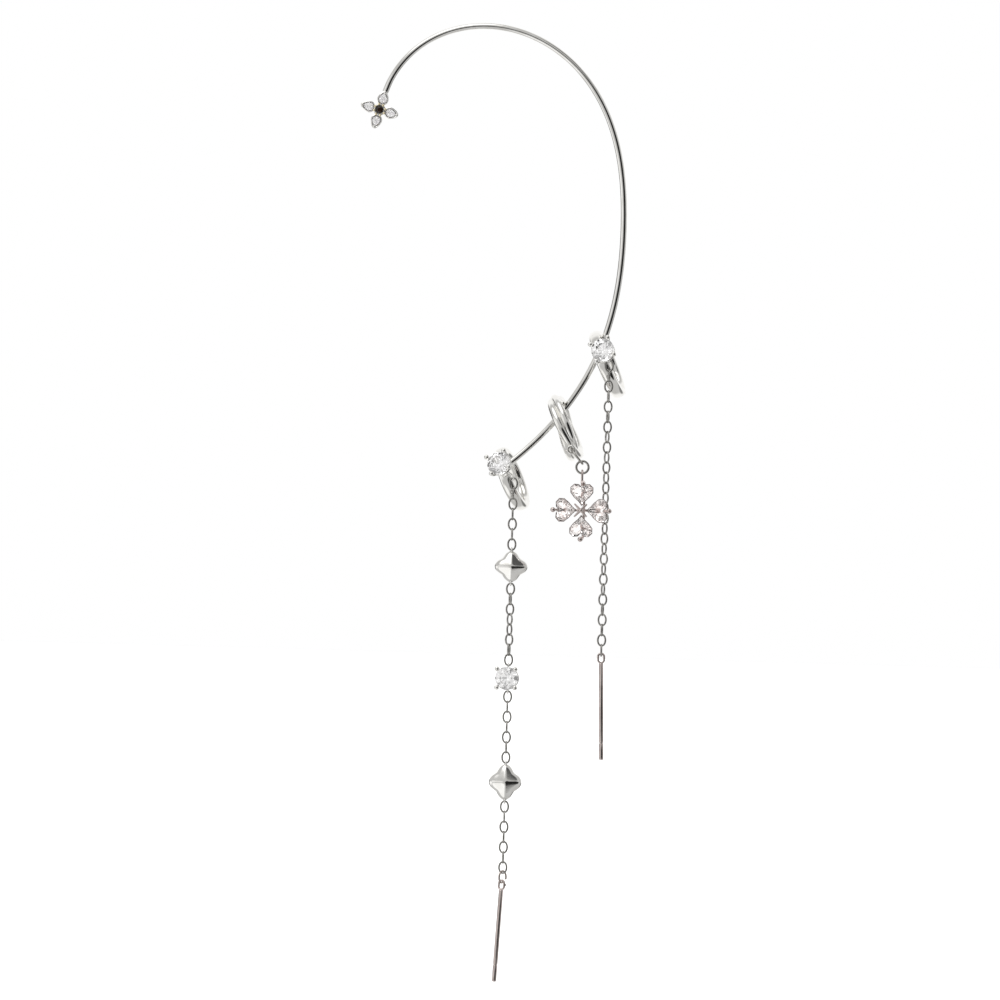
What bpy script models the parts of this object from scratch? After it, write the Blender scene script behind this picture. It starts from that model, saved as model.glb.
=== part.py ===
"""An ear hook with three small cuffs, two hanging chains and a clover charm, at its real size.

The wire curls over the ear and carries the cuffs on its lower end. X points right as the hook is
seen from the front, Y away from the viewer and Z up. The origin is the inside of the wire's crest,
where the hook rests on the ear.
"""

import math
from typing import NamedTuple

import bmesh
import bpy
from mathutils import Matrix, Vector

MM = 0.001

# The gap between two pieces that touch, and how far soldered shapes sink into each other
GAP = 0.06 * MM
SOLDER = 0.12 * MM

# The hook's wire
WIRE_RADIUS = 0.40 * MM
WIRE_LENGTH = 87.3 * MM
WIRE_BEND_RADIUS = 16.0 * MM
WIRE_START_HEADING = 72.4
WIRE_STEPS = 48
WIRE_ROUNDNESS = 2
WIRE_END_SHARE = 0.96


class Bend(NamedTuple):
    """How tightly the wire bends at a share of its length, against WIRE_BEND_RADIUS."""

    share: float
    curl: float


WIRE_BENDS = (
    Bend(0.0, 1.377),
    Bend(0.195, 1.052),
    Bend(0.390, 0.806),
    Bend(0.585, 0.224),
    Bend(0.780, 0.522),
    Bend(1.0, 0.323),
)

# The plain hoops of the upper and lower cuff
HOOP_THICKNESS = 1.15 * MM
HOOP_WIDTH = 1.6 * MM
HOOP_SEGMENTS = 20
HOOP_SIDES = 8
HOOP_ROUNDING = 0.7

# The twisted cuff: strands wound round a ring
TWIST_STRANDS = 3
TWIST_TURNS = 2
TWIST_STRAND_RADIUS = 0.52 * MM
TWIST_SIDEWAYS = 0.56 * MM
TWIST_OUTWARD = 0.24 * MM
TWIST_SEGMENTS = 20
TWIST_EYE_ANGLE = 126.0
TWIST_EYE_STANDOFF = 0.42 * MM
TWIST_EYE_RADIUS = 0.45 * MM


class Cuff(NamedTuple):
    """A cuff's outer radius, how far up the wire from its foot it hangs, and how it turns, in degrees.

    seat is how far its outside stands over the wire's centre. stone_side and eye_side are how far its
    stone and its eye sit off the middle of the hoop's band, and eye_drop how far the eye sits below
    the stone's middle.
    """

    radius: float
    seat: float
    from_foot: float
    lean: float
    yaw: float
    swing: float
    stone_angle: float = 0.0
    stone_side: float = 0.0
    eye_side: float = 0.0
    eye_drop: float = 0.0


UPPER_CUFF = Cuff(4.55 * MM, 2.24 * MM, from_foot=20.0 * MM, lean=23.5, yaw=7.0, swing=12.0,
                  stone_angle=73.0, stone_side=0.8 * MM, eye_side=1.0 * MM, eye_drop=1.16 * MM)
TWISTED_CUFF = Cuff(4.5 * MM, 2.22 * MM, from_foot=10.04 * MM, lean=21.5, yaw=4.0, swing=-35.0)
LOWER_CUFF = Cuff(4.25 * MM, 2.0 * MM, from_foot=0.52 * MM, lean=22.8, yaw=11.0, swing=35.0,
                  stone_angle=66.0, stone_side=0.2 * MM, eye_side=1.25 * MM, eye_drop=2.03 * MM)


class Station(NamedTuple):
    """A place on a profile as shares of its full reach and height."""

    reach: float
    height: float


# The round stones and their settings
STONE_RADIUS = 1.5 * MM
STONE_SIDES = 12
TABLE_SHARE = 0.58
CROWN_SHARE = 0.32
GIRDLE_SHARE = 0.07
PAVILION_SHARE = 0.84
CULET_SHARE = 0.12
PAVILION_BREAK = Station(0.62, 0.45)
CROWN_BREAK = Station(0.82, 0.62)
PRONG_RADIUS = 0.20 * MM
PRONG_BEAD_RADIUS = 0.32 * MM
PRONG_COUNT = 4
PRONG_FOOT_SHARE = 0.45
PRONG_LEAN = 0.18 * MM
PRONG_HEIGHT = 0.40 * MM
BASKET_HEIGHT = 1.9 * MM
BASKET_SINK = 0.35 * MM
BASKET_FOOT_RADIUS = 0.75 * MM
BASKET_FOOT_TOP_RADIUS = 0.55 * MM
BASKET_FOOT_HEIGHT = 0.55 * MM
GALLERY_RADIUS = 1.30 * MM
GALLERY_DEPTH = 0.95 * MM
GALLERY_WIRE = 0.14 * MM

# An eye on a cuff stands over the hoop's outside, on a brace from the setting's foot
EYE_OVER_HOOP = 0.42 * MM
BRACE_RADIUS = 0.165 * MM

# The chains: an oval link, the wire it is made of and how far soldered links bite
LINK_LENGTH = 1.655 * MM
LINK_WIDTH = 1.18 * MM
LINK_WIRE = 0.105 * MM
LINK_BITE = 0.06 * MM
LINK_SEGMENTS = 10
LINK_SIDES = 5
RIGHT_LINKS = 29
LEFT_LINKS = (7, 8, 7, 7)
CHAIN_STONE_YAW = 12.0
CHAIN_SETTING_SAVED = 0.3 * MM
CHAIN_FOOT_HALF = 0.1 * MM

# Small eyes on settings, beads and rods
EYE_RADIUS = 0.30 * MM
EYE_WIRE = 0.11 * MM

# The four-pointed beads on the left chain
BEAD_WIDTH = 4.2 * MM
UPPER_BEAD_HEIGHT = 4.0 * MM
LOWER_BEAD_HEIGHT = 4.6 * MM
BEAD_TIP_BELOW_EYE = 0.09 * MM
BEAD_DEPTH = 2.4 * MM
BEAD_SIDES = 16
BEAD_WAIST = 0.77
BEAD_LOBE_POWER = 0.9
BEAD_STATIONS = (
    Station(0.10, -1.0),
    Station(0.55, -0.74),
    Station(0.92, -0.28),
    Station(1.0, 0.0),
    Station(0.92, 0.28),
    Station(0.55, 0.74),
    Station(0.10, 1.0),
)

# The rods at the ends of the chains
ROD_RADIUS = 0.29 * MM
RIGHT_ROD_LENGTH = 12.4 * MM
LEFT_ROD_LENGTH = 11.8 * MM
ROD_GROOVE_AT = 2.1 * MM
ROD_GROOVE_DEPTH = 0.06 * MM
ROD_GROOVE_WIDTH = 0.16 * MM
ROD_SIDES = 10
ROD_END_SHARE = 0.6
RIGHT_ROD_LEAN = -1.6
LEFT_ROD_LEAN = 2.9
ROD_EYE_LENGTH = 1.45 * MM
ROD_EYE_WIDTH = 1.05 * MM
ROD_EYE_WIRE = 0.14 * MM

# The rings that carry the charm and the left rod
HANGER_RADIUS = 1.12 * MM
ROUND_RING_RADIUS = 0.78 * MM
RING_WIRE = 0.15 * MM
RING_SEGMENTS = 14
HANGER_LEAN = -40.0
OPEN_RING_RADIUS = 0.76 * MM
OPEN_RING_WIRE = 0.12 * MM
OPEN_RING_TURN = 60.0
OPEN_RING_SWEEP = 325.0
OPEN_RING_RISE = 0.12 * MM
OPEN_RING_END = -60.0
OPEN_RING_TAIL_SLOPE = 1.6
OPEN_RING_TAIL = 0.85 * MM

# The clover charm. Crossing bars are turned and stepped a little, so that no two faces coincide
CHARM_SKEW = 0.5
CHARM_STEP = 0.05 * MM
HEART_WIDTH = 3.05 * MM
HEART_LENGTH = 2.80 * MM
HEART_POINTS = 14
HEART_WAVES = (13, -5, -2, -1)
HEART_WAVE_REACH = 29.0
HEART_INNER = 0.58 * MM
HEART_THICKNESS = 1.25 * MM
HEART_MIDDLE_SHARE = 0.58
CHARM_PRONG_RADIUS = 0.17 * MM
CHARM_BEAD_RADIUS = 0.33 * MM
CHARM_CROSS_LENGTH = 1.35 * MM
CHARM_CROSS_WIDTH = 0.17 * MM
CHARM_CROSS_HEIGHT = 0.42 * MM
CHARM_ARM_OUT = 0.30 * MM
CHARM_ARM_ROUNDING = 0.25 * MM
CHARM_BEAD_HEIGHT = 0.20 * MM
CHARM_BAIL_RADIUS = 0.55 * MM
CHARM_BAIL_HEIGHT = 1.9 * MM
CHARM_BAIL_OVER_TIP = 0.75 * MM
CHARM_TURN = -14.0
CHARM_FORWARD = 0.75 * MM

# The flower at the hook's end
FLOWER_REACH = 2.5 * MM
FLOWER_TURN = -16.0
FLOWER_PETALS = 4
FLOWER_STONE_RADIUS = 0.52 * MM
FLOWER_TIP = 0.26 * MM
FLOWER_RIM = 0.16 * MM
FLOWER_CUP_DEPTH = 0.85 * MM
FLOWER_COLLAR_RADIUS = 0.78 * MM
FLOWER_CENTRE_RADIUS = 0.46 * MM
FLOWER_CENTRE_RISE = 0.30 * MM
FLOWER_PETAL_POINTS = 10
FLOWER_BEAD_RADIUS = 0.17 * MM
FLOWER_SEAT_DEPTH = 0.35 * MM
FLOWER_CHAMFER = 0.1 * MM

PARTS = bpy.data.collections.new("ear_cuff")


class Finish(NamedTuple):
    """The plain look of one kind of piece."""

    colour: tuple
    roughness: float
    metallic: float


SILVER = Finish((0.80, 0.80, 0.79, 1.0), 0.12, 1.0)
DARK_SILVER = Finish((0.62, 0.61, 0.60, 1.0), 0.20, 1.0)
ROSE_SILVER = Finish((0.74, 0.66, 0.64, 1.0), 0.18, 1.0)
CLEAR_STONE = Finish((0.92, 0.93, 0.95, 1.0), 0.02, 0.0)
DARK_STONE = Finish((0.05, 0.03, 0.02, 1.0), 0.05, 0.0)


def clear_scene():
    """Empties the scene that Blender opens with."""
    for obj in list(bpy.data.objects):
        bpy.data.objects.remove(obj)
    bpy.context.scene.collection.children.link(PARTS)


def turned(axis, degrees):
    """A rotation about one axis."""
    return Matrix.Rotation(math.radians(degrees), 4, axis)


def moved(x=0.0, y=0.0, z=0.0):
    """A move along the axes."""
    return Matrix.Translation((x, y, z))


def mesh_object(name, shape):
    """An object in the parts' collection made from a bmesh."""
    bmesh.ops.recalc_face_normals(shape, faces=shape.faces[:])
    mesh = bpy.data.meshes.new(name)
    shape.to_mesh(mesh)
    shape.free()
    obj = bpy.data.objects.new(name, mesh)
    PARTS.objects.link(obj)
    return obj


def finished(obj, finish, smooth_angle=40.0):
    """Gives the object a material of its own and smooth shading on its round sides."""
    material = bpy.data.materials.new(obj.name)
    material.use_nodes = True
    shader = material.node_tree.nodes["Principled BSDF"]
    shader.inputs["Base Color"].default_value = finish.colour
    shader.inputs["Roughness"].default_value = finish.roughness
    shader.inputs["Metallic"].default_value = finish.metallic
    obj.data.materials.clear()
    obj.data.materials.append(material)
    obj.data.shade_smooth()
    obj.data.set_sharp_from_angle(angle=math.radians(smooth_angle))
    return obj


def united(name, pieces):
    """One closed body from pieces that sink into each other."""
    body = pieces[0]
    if len(pieces) > 1:
        others = bpy.data.collections.new(name + "_pieces")
        for piece in pieces[1:]:
            others.objects.link(piece)
        union = body.modifiers.new("union", "BOOLEAN")
        union.operation = "UNION"
        union.operand_type = "COLLECTION"
        union.collection = others
        graph = bpy.context.evaluated_depsgraph_get()
        mesh = bpy.data.meshes.new_from_object(body.evaluated_get(graph))
        body.modifiers.clear()
        body.data = mesh
        for piece in pieces[1:]:
            bpy.data.objects.remove(piece)
        bpy.data.collections.remove(others)
    body.name = name
    body.data.name = name
    return body


def tube(points, radius, roundness=1, closed=False):
    """A wire through the points, as a mesh with welded caps. Its sides are 4 + 2 * roundness."""
    curve = bpy.data.curves.new("wire", "CURVE")
    curve.dimensions = "3D"
    spline = curve.splines.new("POLY")
    spline.points.add(len(points) - 1)
    for point, place in zip(spline.points, points):
        point.co = (*place, 1.0)
    spline.use_cyclic_u = closed
    curve.bevel_depth = radius
    curve.bevel_resolution = roundness
    curve.use_fill_caps = not closed
    guide = bpy.data.objects.new("wire", curve)
    PARTS.objects.link(guide)
    graph = bpy.context.evaluated_depsgraph_get()
    mesh = bpy.data.meshes.new_from_object(guide.evaluated_get(graph))
    bpy.data.objects.remove(guide)
    shape = bmesh.new()
    shape.from_mesh(mesh)
    bmesh.ops.remove_doubles(shape, verts=shape.verts[:], dist=0.0001 * MM)
    return mesh_object("wire", shape)


def sphere(radius, place, segments=6, rings=4):
    """A round bead."""
    shape = bmesh.new()
    bmesh.ops.create_uvsphere(
        shape, u_segments=segments, v_segments=rings, radius=radius, matrix=Matrix.Translation(place)
    )
    return mesh_object("bead", shape)


def ring(radius, wire, matrix, segments=RING_SEGMENTS, sides=5, stretch=0.0):
    """A ring in its own XZ plane, pulled out along Z by stretch into an oval link."""
    bpy.ops.mesh.primitive_torus_add(
        major_radius=radius, minor_radius=wire, major_segments=segments, minor_segments=sides
    )
    obj = bpy.context.active_object
    for holder in list(obj.users_collection):
        holder.objects.unlink(obj)
    PARTS.objects.link(obj)
    obj.data.transform(turned("X", 90.0))
    for vertex in obj.data.vertices:
        if abs(vertex.co.z) > wire * 1.01 and stretch > 0.0:
            vertex.co.z += math.copysign(stretch / 2, vertex.co.z)
    obj.data.transform(matrix)
    return obj


def lathe(profile, matrix, segments):
    """A solid turned about its own Z axis from (radius, height) pairs, ends on the axis."""
    shape = bmesh.new()
    loops = []
    for radius, height in profile:
        if radius == 0.0:
            loops.append([shape.verts.new((0.0, 0.0, height))])
            continue
        angles = [math.tau * (step + 0.5) / segments for step in range(segments)]
        loops.append([shape.verts.new((radius * math.cos(a), radius * math.sin(a), height)) for a in angles])
    for lower, upper in zip(loops, loops[1:]):
        bridge(shape, lower, upper)
    shape.transform(matrix)
    return mesh_object("lathe", shape)


def bridge(shape, lower, upper):
    """Joins two closed loops of vertices, or a loop and a point, with faces."""
    count = max(len(lower), len(upper))
    for step in range(count):
        after = (step + 1) % count
        corners = [lower[step % len(lower)], lower[after % len(lower)]]
        corners += [upper[after % len(upper)], upper[step % len(upper)]]
        face = list(dict.fromkeys(corners))
        if len(face) > 2:
            shape.faces.new(face)


def loft(layers, matrix):
    """A closed solid through flat outlines, each a list of (x, y) pairs with its height."""
    shape = bmesh.new()
    loops = [[shape.verts.new((x, y, height)) for x, y in outline] for outline, height in layers]
    for lower, upper in zip(loops, loops[1:]):
        bridge(shape, lower, upper)
    shape.faces.new(loops[0])
    shape.faces.new(loops[-1])
    shape.transform(matrix)
    return mesh_object("loft", shape)


def shrunk(outline, share, centre):
    """The outline drawn in towards a centre."""
    return [(centre[0] + (x - centre[0]) * share, centre[1] + (y - centre[1]) * share) for x, y in outline]


def cut_stone(name, outline, centre, width, matrix, finish):
    """A faceted stone with its girdle's top at height 0 and its table towards +Z."""
    crown = CROWN_SHARE * width
    girdle = GIRDLE_SHARE * width
    pavilion = PAVILION_SHARE * width
    layers = (
        (shrunk(outline, CULET_SHARE, centre), -girdle - pavilion),
        (shrunk(outline, PAVILION_BREAK.reach, centre), -girdle - PAVILION_BREAK.height * pavilion),
        (outline, -girdle),
        (outline, 0.0),
        (shrunk(outline, CROWN_BREAK.reach, centre), CROWN_BREAK.height * crown),
        (shrunk(outline, TABLE_SHARE, centre), crown),
    )
    stone = loft(layers, matrix)
    stone.name = name
    return finished(stone, finish, smooth_angle=1.0)


def round_outline(radius, sides):
    """Points round a circle."""
    angles = [math.tau * (step + 0.5) / sides for step in range(sides)]
    return [(radius * math.cos(a), radius * math.sin(a)) for a in angles]


def wire_curl(share):
    """The wire's curl between two rows of the bend table."""
    for low, high in zip(WIRE_BENDS, WIRE_BENDS[1:]):
        if share <= high.share:
            part = (share - low.share) / (high.share - low.share)
            return low.curl + (high.curl - low.curl) * part
    return WIRE_BENDS[-1].curl


def crest_of(places):
    """The highest point of the arc through the highest place and its two neighbours."""
    top = max(range(1, len(places) - 1), key=lambda index: places[index].z)
    before, highest, after = places[top - 1 : top + 2]
    fall = before.z + after.z - 2 * highest.z
    shift = (before.z - after.z) / (2 * fall)
    return highest + (after - before) * shift / 2 + Vector((0.0, 0.0, (before.z - after.z) * shift / -4))


def wire_route():
    """The wire's centre line from the flower to the lower cuff, with its crest over the origin."""
    step = WIRE_LENGTH / WIRE_STEPS
    heading = math.radians(WIRE_START_HEADING)
    places = [Vector((0.0, 0.0, 0.0))]
    for index in range(WIRE_STEPS):
        curl = wire_curl((index + 0.5) / WIRE_STEPS)
        middle = heading - curl * step / WIRE_BEND_RADIUS / 2
        places.append(places[-1] + Vector((math.cos(middle), 0.0, math.sin(middle))) * step)
        heading -= curl * step / WIRE_BEND_RADIUS
    crest = crest_of(places)
    return [place - crest + Vector((0.0, 0.0, WIRE_RADIUS)) for place in places]


ROUTE = wire_route()


def on_wire(from_foot):
    """The place on the wire's centre line at a distance from its foot."""
    along = 1.0 - from_foot / WIRE_LENGTH
    index = min(int(along * WIRE_STEPS), WIRE_STEPS - 1)
    return ROUTE[index].lerp(ROUTE[index + 1], along * WIRE_STEPS - index)


def cuff_frame(cuff):
    """The cuff's own frame: X along the hoop's axis, Y to its back and Z to its top."""
    turn = turned("Y", -cuff.lean) @ turned("Z", -cuff.yaw)
    swing = math.radians(cuff.swing)
    down = turned("Y", -cuff.lean) @ Vector((0.0, math.sin(swing), -math.cos(swing)))
    return Matrix.Translation(on_wire(cuff.from_foot) + (cuff.radius - cuff.seat) * down) @ turn


def plain_hoop(frame, radius):
    """A polished band of rounded section round the frame's X axis."""
    shape = bmesh.new()
    core = radius - HOOP_THICKNESS / 2
    section = []
    for across, along in round_outline(1.0, HOOP_SIDES):
        out = math.copysign(abs(across) ** HOOP_ROUNDING, across) * HOOP_THICKNESS / 2
        side = math.copysign(abs(along) ** HOOP_ROUNDING, along) * HOOP_WIDTH / 2
        section.append((core + out, side))
    loops = []
    for index in range(HOOP_SEGMENTS):
        angle = math.tau * index / HOOP_SEGMENTS
        across, up = math.sin(angle), math.cos(angle)
        loops.append([shape.verts.new((side, reach * across, reach * up)) for reach, side in section])
    for lower, upper in zip(loops, loops[1:] + loops[:1]):
        bridge(shape, lower, upper)
    shape.transform(frame)
    return mesh_object("hoop", shape)


def prong_spot(index, radius, height):
    """A place on one of the four prongs of a round setting."""
    angle = math.tau * (index + 0.5) / PRONG_COUNT
    return Vector((radius * math.cos(angle), radius * math.sin(angle), height))


def basket_pieces(frame, foot):
    """Prongs, beads and the gallery ring of a round setting whose prongs stand on a foot depth."""
    pieces = []
    outside = STONE_RADIUS + 2 * GAP + PRONG_RADIUS
    stations = (
        (PRONG_FOOT_SHARE * GALLERY_RADIUS, -foot),
        (GALLERY_RADIUS, -GALLERY_DEPTH),
        (outside, -GAP),
        (STONE_RADIUS + PRONG_LEAN, PRONG_HEIGHT),
    )
    for index in range(PRONG_COUNT):
        places = [frame @ prong_spot(index, reach, height) for reach, height in stations]
        pieces.append(tube(places, PRONG_RADIUS, roundness=0))
        bead = prong_spot(index, STONE_RADIUS + PRONG_LEAN, PRONG_HEIGHT)
        pieces.append(sphere(PRONG_BEAD_RADIUS, frame @ bead))
    flat = frame @ moved(z=-GALLERY_DEPTH) @ turned("X", 90.0)
    pieces.append(ring(GALLERY_RADIUS, GALLERY_WIRE, flat, segments=12, sides=4))
    return pieces


def stone_frame(frame, cuff):
    """The frame of a stone on a cuff's hoop, its Z pointing out of the hoop."""
    return frame @ turned("X", cuff.stone_angle) @ moved(x=cuff.stone_side, z=cuff.radius + BASKET_HEIGHT)


def eye_link(place, wire=EYE_WIRE, radius=EYE_RADIUS):
    """A small soldered ring in the YZ plane."""
    return ring(radius, wire, Matrix.Translation(place) @ turned("Z", 90.0), segments=10, sides=5)


def stone_cuff(name, cuff):
    """A plain hoop with a prong setting and an eye under it, as one body. Returns the eye's place."""
    frame = cuff_frame(cuff)
    stone = stone_frame(frame, cuff)
    foot = BASKET_HEIGHT + BASKET_SINK
    aside = cuff.eye_side - cuff.stone_side
    eye = stone @ Vector((aside, -cuff.eye_drop, EYE_OVER_HOOP - BASKET_HEIGHT))
    pieces = [plain_hoop(frame, cuff.radius)] + basket_pieces(stone, foot)
    pieces.append(eye_link(eye))
    brace = stone @ Vector((0.0, -BRACE_RADIUS, BRACE_RADIUS / 2 - BASKET_HEIGHT))
    towards = brace - eye
    towards.x = 0.0
    pieces.append(tube([brace, eye + towards.normalized() * EYE_RADIUS], BRACE_RADIUS))
    top = BASKET_FOOT_HEIGHT - foot
    profile = ((0.0, -foot), (BASKET_FOOT_RADIUS, -foot), (BASKET_FOOT_TOP_RADIUS, top), (0.0, top))
    pieces.append(lathe(profile, stone, STONE_SIDES))
    finished(united(name, pieces), SILVER)
    outline = round_outline(STONE_RADIUS, STONE_SIDES)
    cut_stone(name + "_stone", outline, (0.0, 0.0), STONE_RADIUS, stone, CLEAR_STONE)
    return eye


def twisted_cuff(cuff):
    """Strands wound round a ring, fused into one body with the eye for the charm."""
    frame = cuff_frame(cuff)
    core = cuff.radius - TWIST_OUTWARD - TWIST_STRAND_RADIUS
    pieces = []
    for strand in range(TWIST_STRANDS):
        places = []
        for index in range(TWIST_SEGMENTS):
            round_ring = math.tau * index / TWIST_SEGMENTS
            winding = TWIST_TURNS * round_ring + math.tau * strand / TWIST_STRANDS
            radius = core + TWIST_OUTWARD * math.cos(winding)
            side = TWIST_SIDEWAYS * math.sin(winding)
            place = Vector((side, -radius * math.sin(round_ring), radius * math.cos(round_ring)))
            places.append(frame @ place)
        pieces.append(tube(places, TWIST_STRAND_RADIUS, closed=True))
    eye_frame = frame @ turned("X", TWIST_EYE_ANGLE)
    eye = eye_frame @ Vector((0.0, 0.0, cuff.radius + TWIST_EYE_STANDOFF))
    lean = turned("Y", HANGER_LEAN)
    pieces.append(ring(TWIST_EYE_RADIUS, RING_WIRE, Matrix.Translation(eye) @ lean, 10))
    post = eye_frame @ Vector((0.0, 0.0, cuff.radius - 2 * TWIST_STRAND_RADIUS))
    pieces.append(tube([post, eye + lean @ Vector((0.0, 0.0, TWIST_EYE_RADIUS))], RING_WIRE))
    finished(united("twisted_cuff", pieces), SILVER)
    return eye


def ear_hook():
    """The wire and the flower's setting soldered to its end."""
    tip = ROUTE[0]
    petal_angle = 90.0 + FLOWER_TURN
    towards = Vector((math.cos(math.radians(petal_angle)), 0.0, math.sin(math.radians(petal_angle))))
    centre = tip - towards * (FLOWER_REACH - SOLDER)
    centre.y = FLOWER_CUP_DEPTH / 2
    face = Matrix.Translation(centre) @ turned("X", 90.0) @ turned("Z", petal_angle)
    pieces = [tube(ROUTE, WIRE_RADIUS, WIRE_ROUNDNESS)]
    pieces.append(sphere(WIRE_END_SHARE * WIRE_RADIUS, ROUTE[-1], 10, 8))
    for index in range(FLOWER_PETALS):
        petal = face @ turned("Z", 360.0 * index / FLOWER_PETALS)
        pieces.append(petal_cup(petal))
        stone_matrix = petal @ moved(x=petal_middle(), z=FLOWER_CUP_DEPTH)
        outline = pear_outline(FLOWER_STONE_RADIUS, FLOWER_REACH - petal_middle() - FLOWER_TIP - 2 * GAP)
        name = f"flower_stone_{index + 1}"
        cut_stone(name, outline, (0.0, 0.0), FLOWER_STONE_RADIUS, stone_matrix, CLEAR_STONE)
    rise = FLOWER_CUP_DEPTH + FLOWER_CENTRE_RISE
    seat = rise - FLOWER_SEAT_DEPTH
    inner = FLOWER_CENTRE_RADIUS + GAP
    profile = ((0.0, 0.0), (FLOWER_COLLAR_RADIUS, 0.0), (FLOWER_COLLAR_RADIUS, rise - FLOWER_CHAMFER),
               (FLOWER_COLLAR_RADIUS - FLOWER_CHAMFER, rise), (inner, rise), (inner, seat), (0.0, seat))
    pieces.append(lathe(profile, face, 10))
    for index in range(FLOWER_PETALS):
        angle = math.tau * (index + 0.5) / FLOWER_PETALS
        place = Vector((FLOWER_COLLAR_RADIUS * math.cos(angle), FLOWER_COLLAR_RADIUS * math.sin(angle), rise))
        pieces.append(sphere(FLOWER_BEAD_RADIUS, face @ place))
    finished(united("ear_hook", pieces), SILVER)
    dome = FLOWER_CENTRE_RADIUS
    table = rise + CROWN_SHARE * dome
    profile = ((0.0, seat + GAP), (dome, seat + GAP), (dome, rise), (0.7 * dome, table), (0.0, table))
    centre_stone = lathe(profile, face, 12)
    centre_stone.name = "flower_centre_stone"
    finished(centre_stone, DARK_STONE, smooth_angle=1.0)


def petal_middle():
    """How far the round end of a petal's stone sits from the flower's centre."""
    return FLOWER_COLLAR_RADIUS + GAP + FLOWER_STONE_RADIUS


def pear_outline(radius, length):
    """A round end towards -X and a point towards +X, length measured from the circle's centre."""
    outline = []
    for index in range(FLOWER_PETAL_POINTS):
        angle = math.tau * index / FLOWER_PETAL_POINTS
        pull = max(0.0, math.cos(angle)) ** 3
        outline.append((radius * math.cos(angle) + (length - radius) * pull, radius * math.sin(angle)))
    return outline


def petal_cup(petal):
    """A petal's bezel: a pointed cup, open to the front, that the stone sits in."""
    grow = FLOWER_RIM + GAP
    outer_length = FLOWER_REACH - petal_middle()
    outer = pear_outline(FLOWER_STONE_RADIUS + grow, outer_length)
    inner = pear_outline(FLOWER_STONE_RADIUS + GAP, outer_length - FLOWER_TIP)
    floor = FLOWER_CUP_DEPTH - (GIRDLE_SHARE + PAVILION_SHARE) * FLOWER_STONE_RADIUS - 2 * GAP
    shape = bmesh.new()
    rings = ((outer, 0.0), (outer, FLOWER_CUP_DEPTH), (inner, FLOWER_CUP_DEPTH), (inner, floor))
    loops = [[shape.verts.new((x, y, height)) for x, y in outline] for outline, height in rings]
    for lower, upper in zip(loops, loops[1:]):
        bridge(shape, lower, upper)
    shape.faces.new(loops[0])
    shape.faces.new(loops[-1])
    shape.transform(petal @ moved(x=petal_middle()))
    return mesh_object("petal", shape)


def half_link(length, wire):
    """From a link's middle to the centre of the wire at its end."""
    return length / 2 - wire


def hung_below(place, wire, length, own_wire, gap):
    """The middle of a link that hangs in a ring whose bottom wire is centred on a place."""
    return place.z + (wire + own_wire + gap) - half_link(length, own_wire)


def chain(name, bottom_wire, wire, links, first_turn, total_turn):
    """Interlocked links fused into one strand. Returns the centre of the last link's bottom wire.

    bottom_wire is the centre of the wire that the first link hangs on, and wire its radius. The links
    turn a quarter each, and the whole strand by total_turn more.
    """
    radius = LINK_WIDTH / 2 - LINK_WIRE
    stretch = LINK_LENGTH - LINK_WIDTH
    height = hung_below(bottom_wire, wire, LINK_LENGTH, LINK_WIRE, GAP)
    pitch = LINK_LENGTH - 4 * LINK_WIRE + LINK_BITE
    pieces = []
    for index in range(links):
        turn = first_turn + 90.0 * index + total_turn * index / max(links - 1, 1)
        matrix = moved(bottom_wire.x, bottom_wire.y, height - index * pitch) @ turned("Z", turn)
        pieces.append(ring(radius, LINK_WIRE, matrix, LINK_SEGMENTS, LINK_SIDES, stretch))
    finished(united(name, pieces), DARK_SILVER)
    last = height - (links - 1) * pitch - half_link(LINK_LENGTH, LINK_WIRE)
    return Vector((bottom_wire.x, bottom_wire.y, last))


def rod(name, eye_bottom, eye_wire, length, lean, eye_turn):
    """A thin rod with an oval eye, a groove near its foot and rounded ends, hung on a wire."""
    height = hung_below(eye_bottom, eye_wire, ROD_EYE_LENGTH, ROD_EYE_WIRE, GAP)
    frame = moved(eye_bottom.x, eye_bottom.y, height) @ turned("Y", lean)
    stretch = ROD_EYE_LENGTH - ROD_EYE_WIDTH
    radius = ROD_EYE_WIDTH / 2 - ROD_EYE_WIRE
    eye = ring(radius, ROD_EYE_WIRE, frame @ turned("Z", eye_turn), 10, 5, stretch)
    top = -ROD_EYE_LENGTH / 2 + SOLDER
    foot = top - length
    groove = foot + ROD_GROOVE_AT
    neck = ROD_RADIUS - ROD_GROOVE_DEPTH
    rounding = ROD_END_SHARE * ROD_RADIUS
    profile = (
        (0.0, foot),
        (ROD_RADIUS - rounding / 2, foot),
        (ROD_RADIUS, foot + rounding),
        (ROD_RADIUS, groove),
        (neck, groove + ROD_GROOVE_WIDTH / 3),
        (neck, groove + 2 * ROD_GROOVE_WIDTH / 3),
        (ROD_RADIUS, groove + ROD_GROOVE_WIDTH),
        (ROD_RADIUS, top - rounding),
        (ROD_RADIUS - rounding / 2, top),
        (0.0, top),
    )
    body = lathe(profile, frame, ROD_SIDES)
    finished(united(name, [body, eye]), ROSE_SILVER)


def bead_outline(height):
    """A four-pointed clover outline with soft waists between its points."""
    outline = []
    for index in range(BEAD_SIDES):
        angle = math.tau * index / BEAD_SIDES
        lobe = 0.5 + 0.5 * math.cos(4 * angle)
        reach = BEAD_WAIST + (1.0 - BEAD_WAIST) * lobe ** BEAD_LOBE_POWER
        outline.append((BEAD_WIDTH / 2 * reach * math.cos(angle), height / 2 * reach * math.sin(angle)))
    return outline


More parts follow.
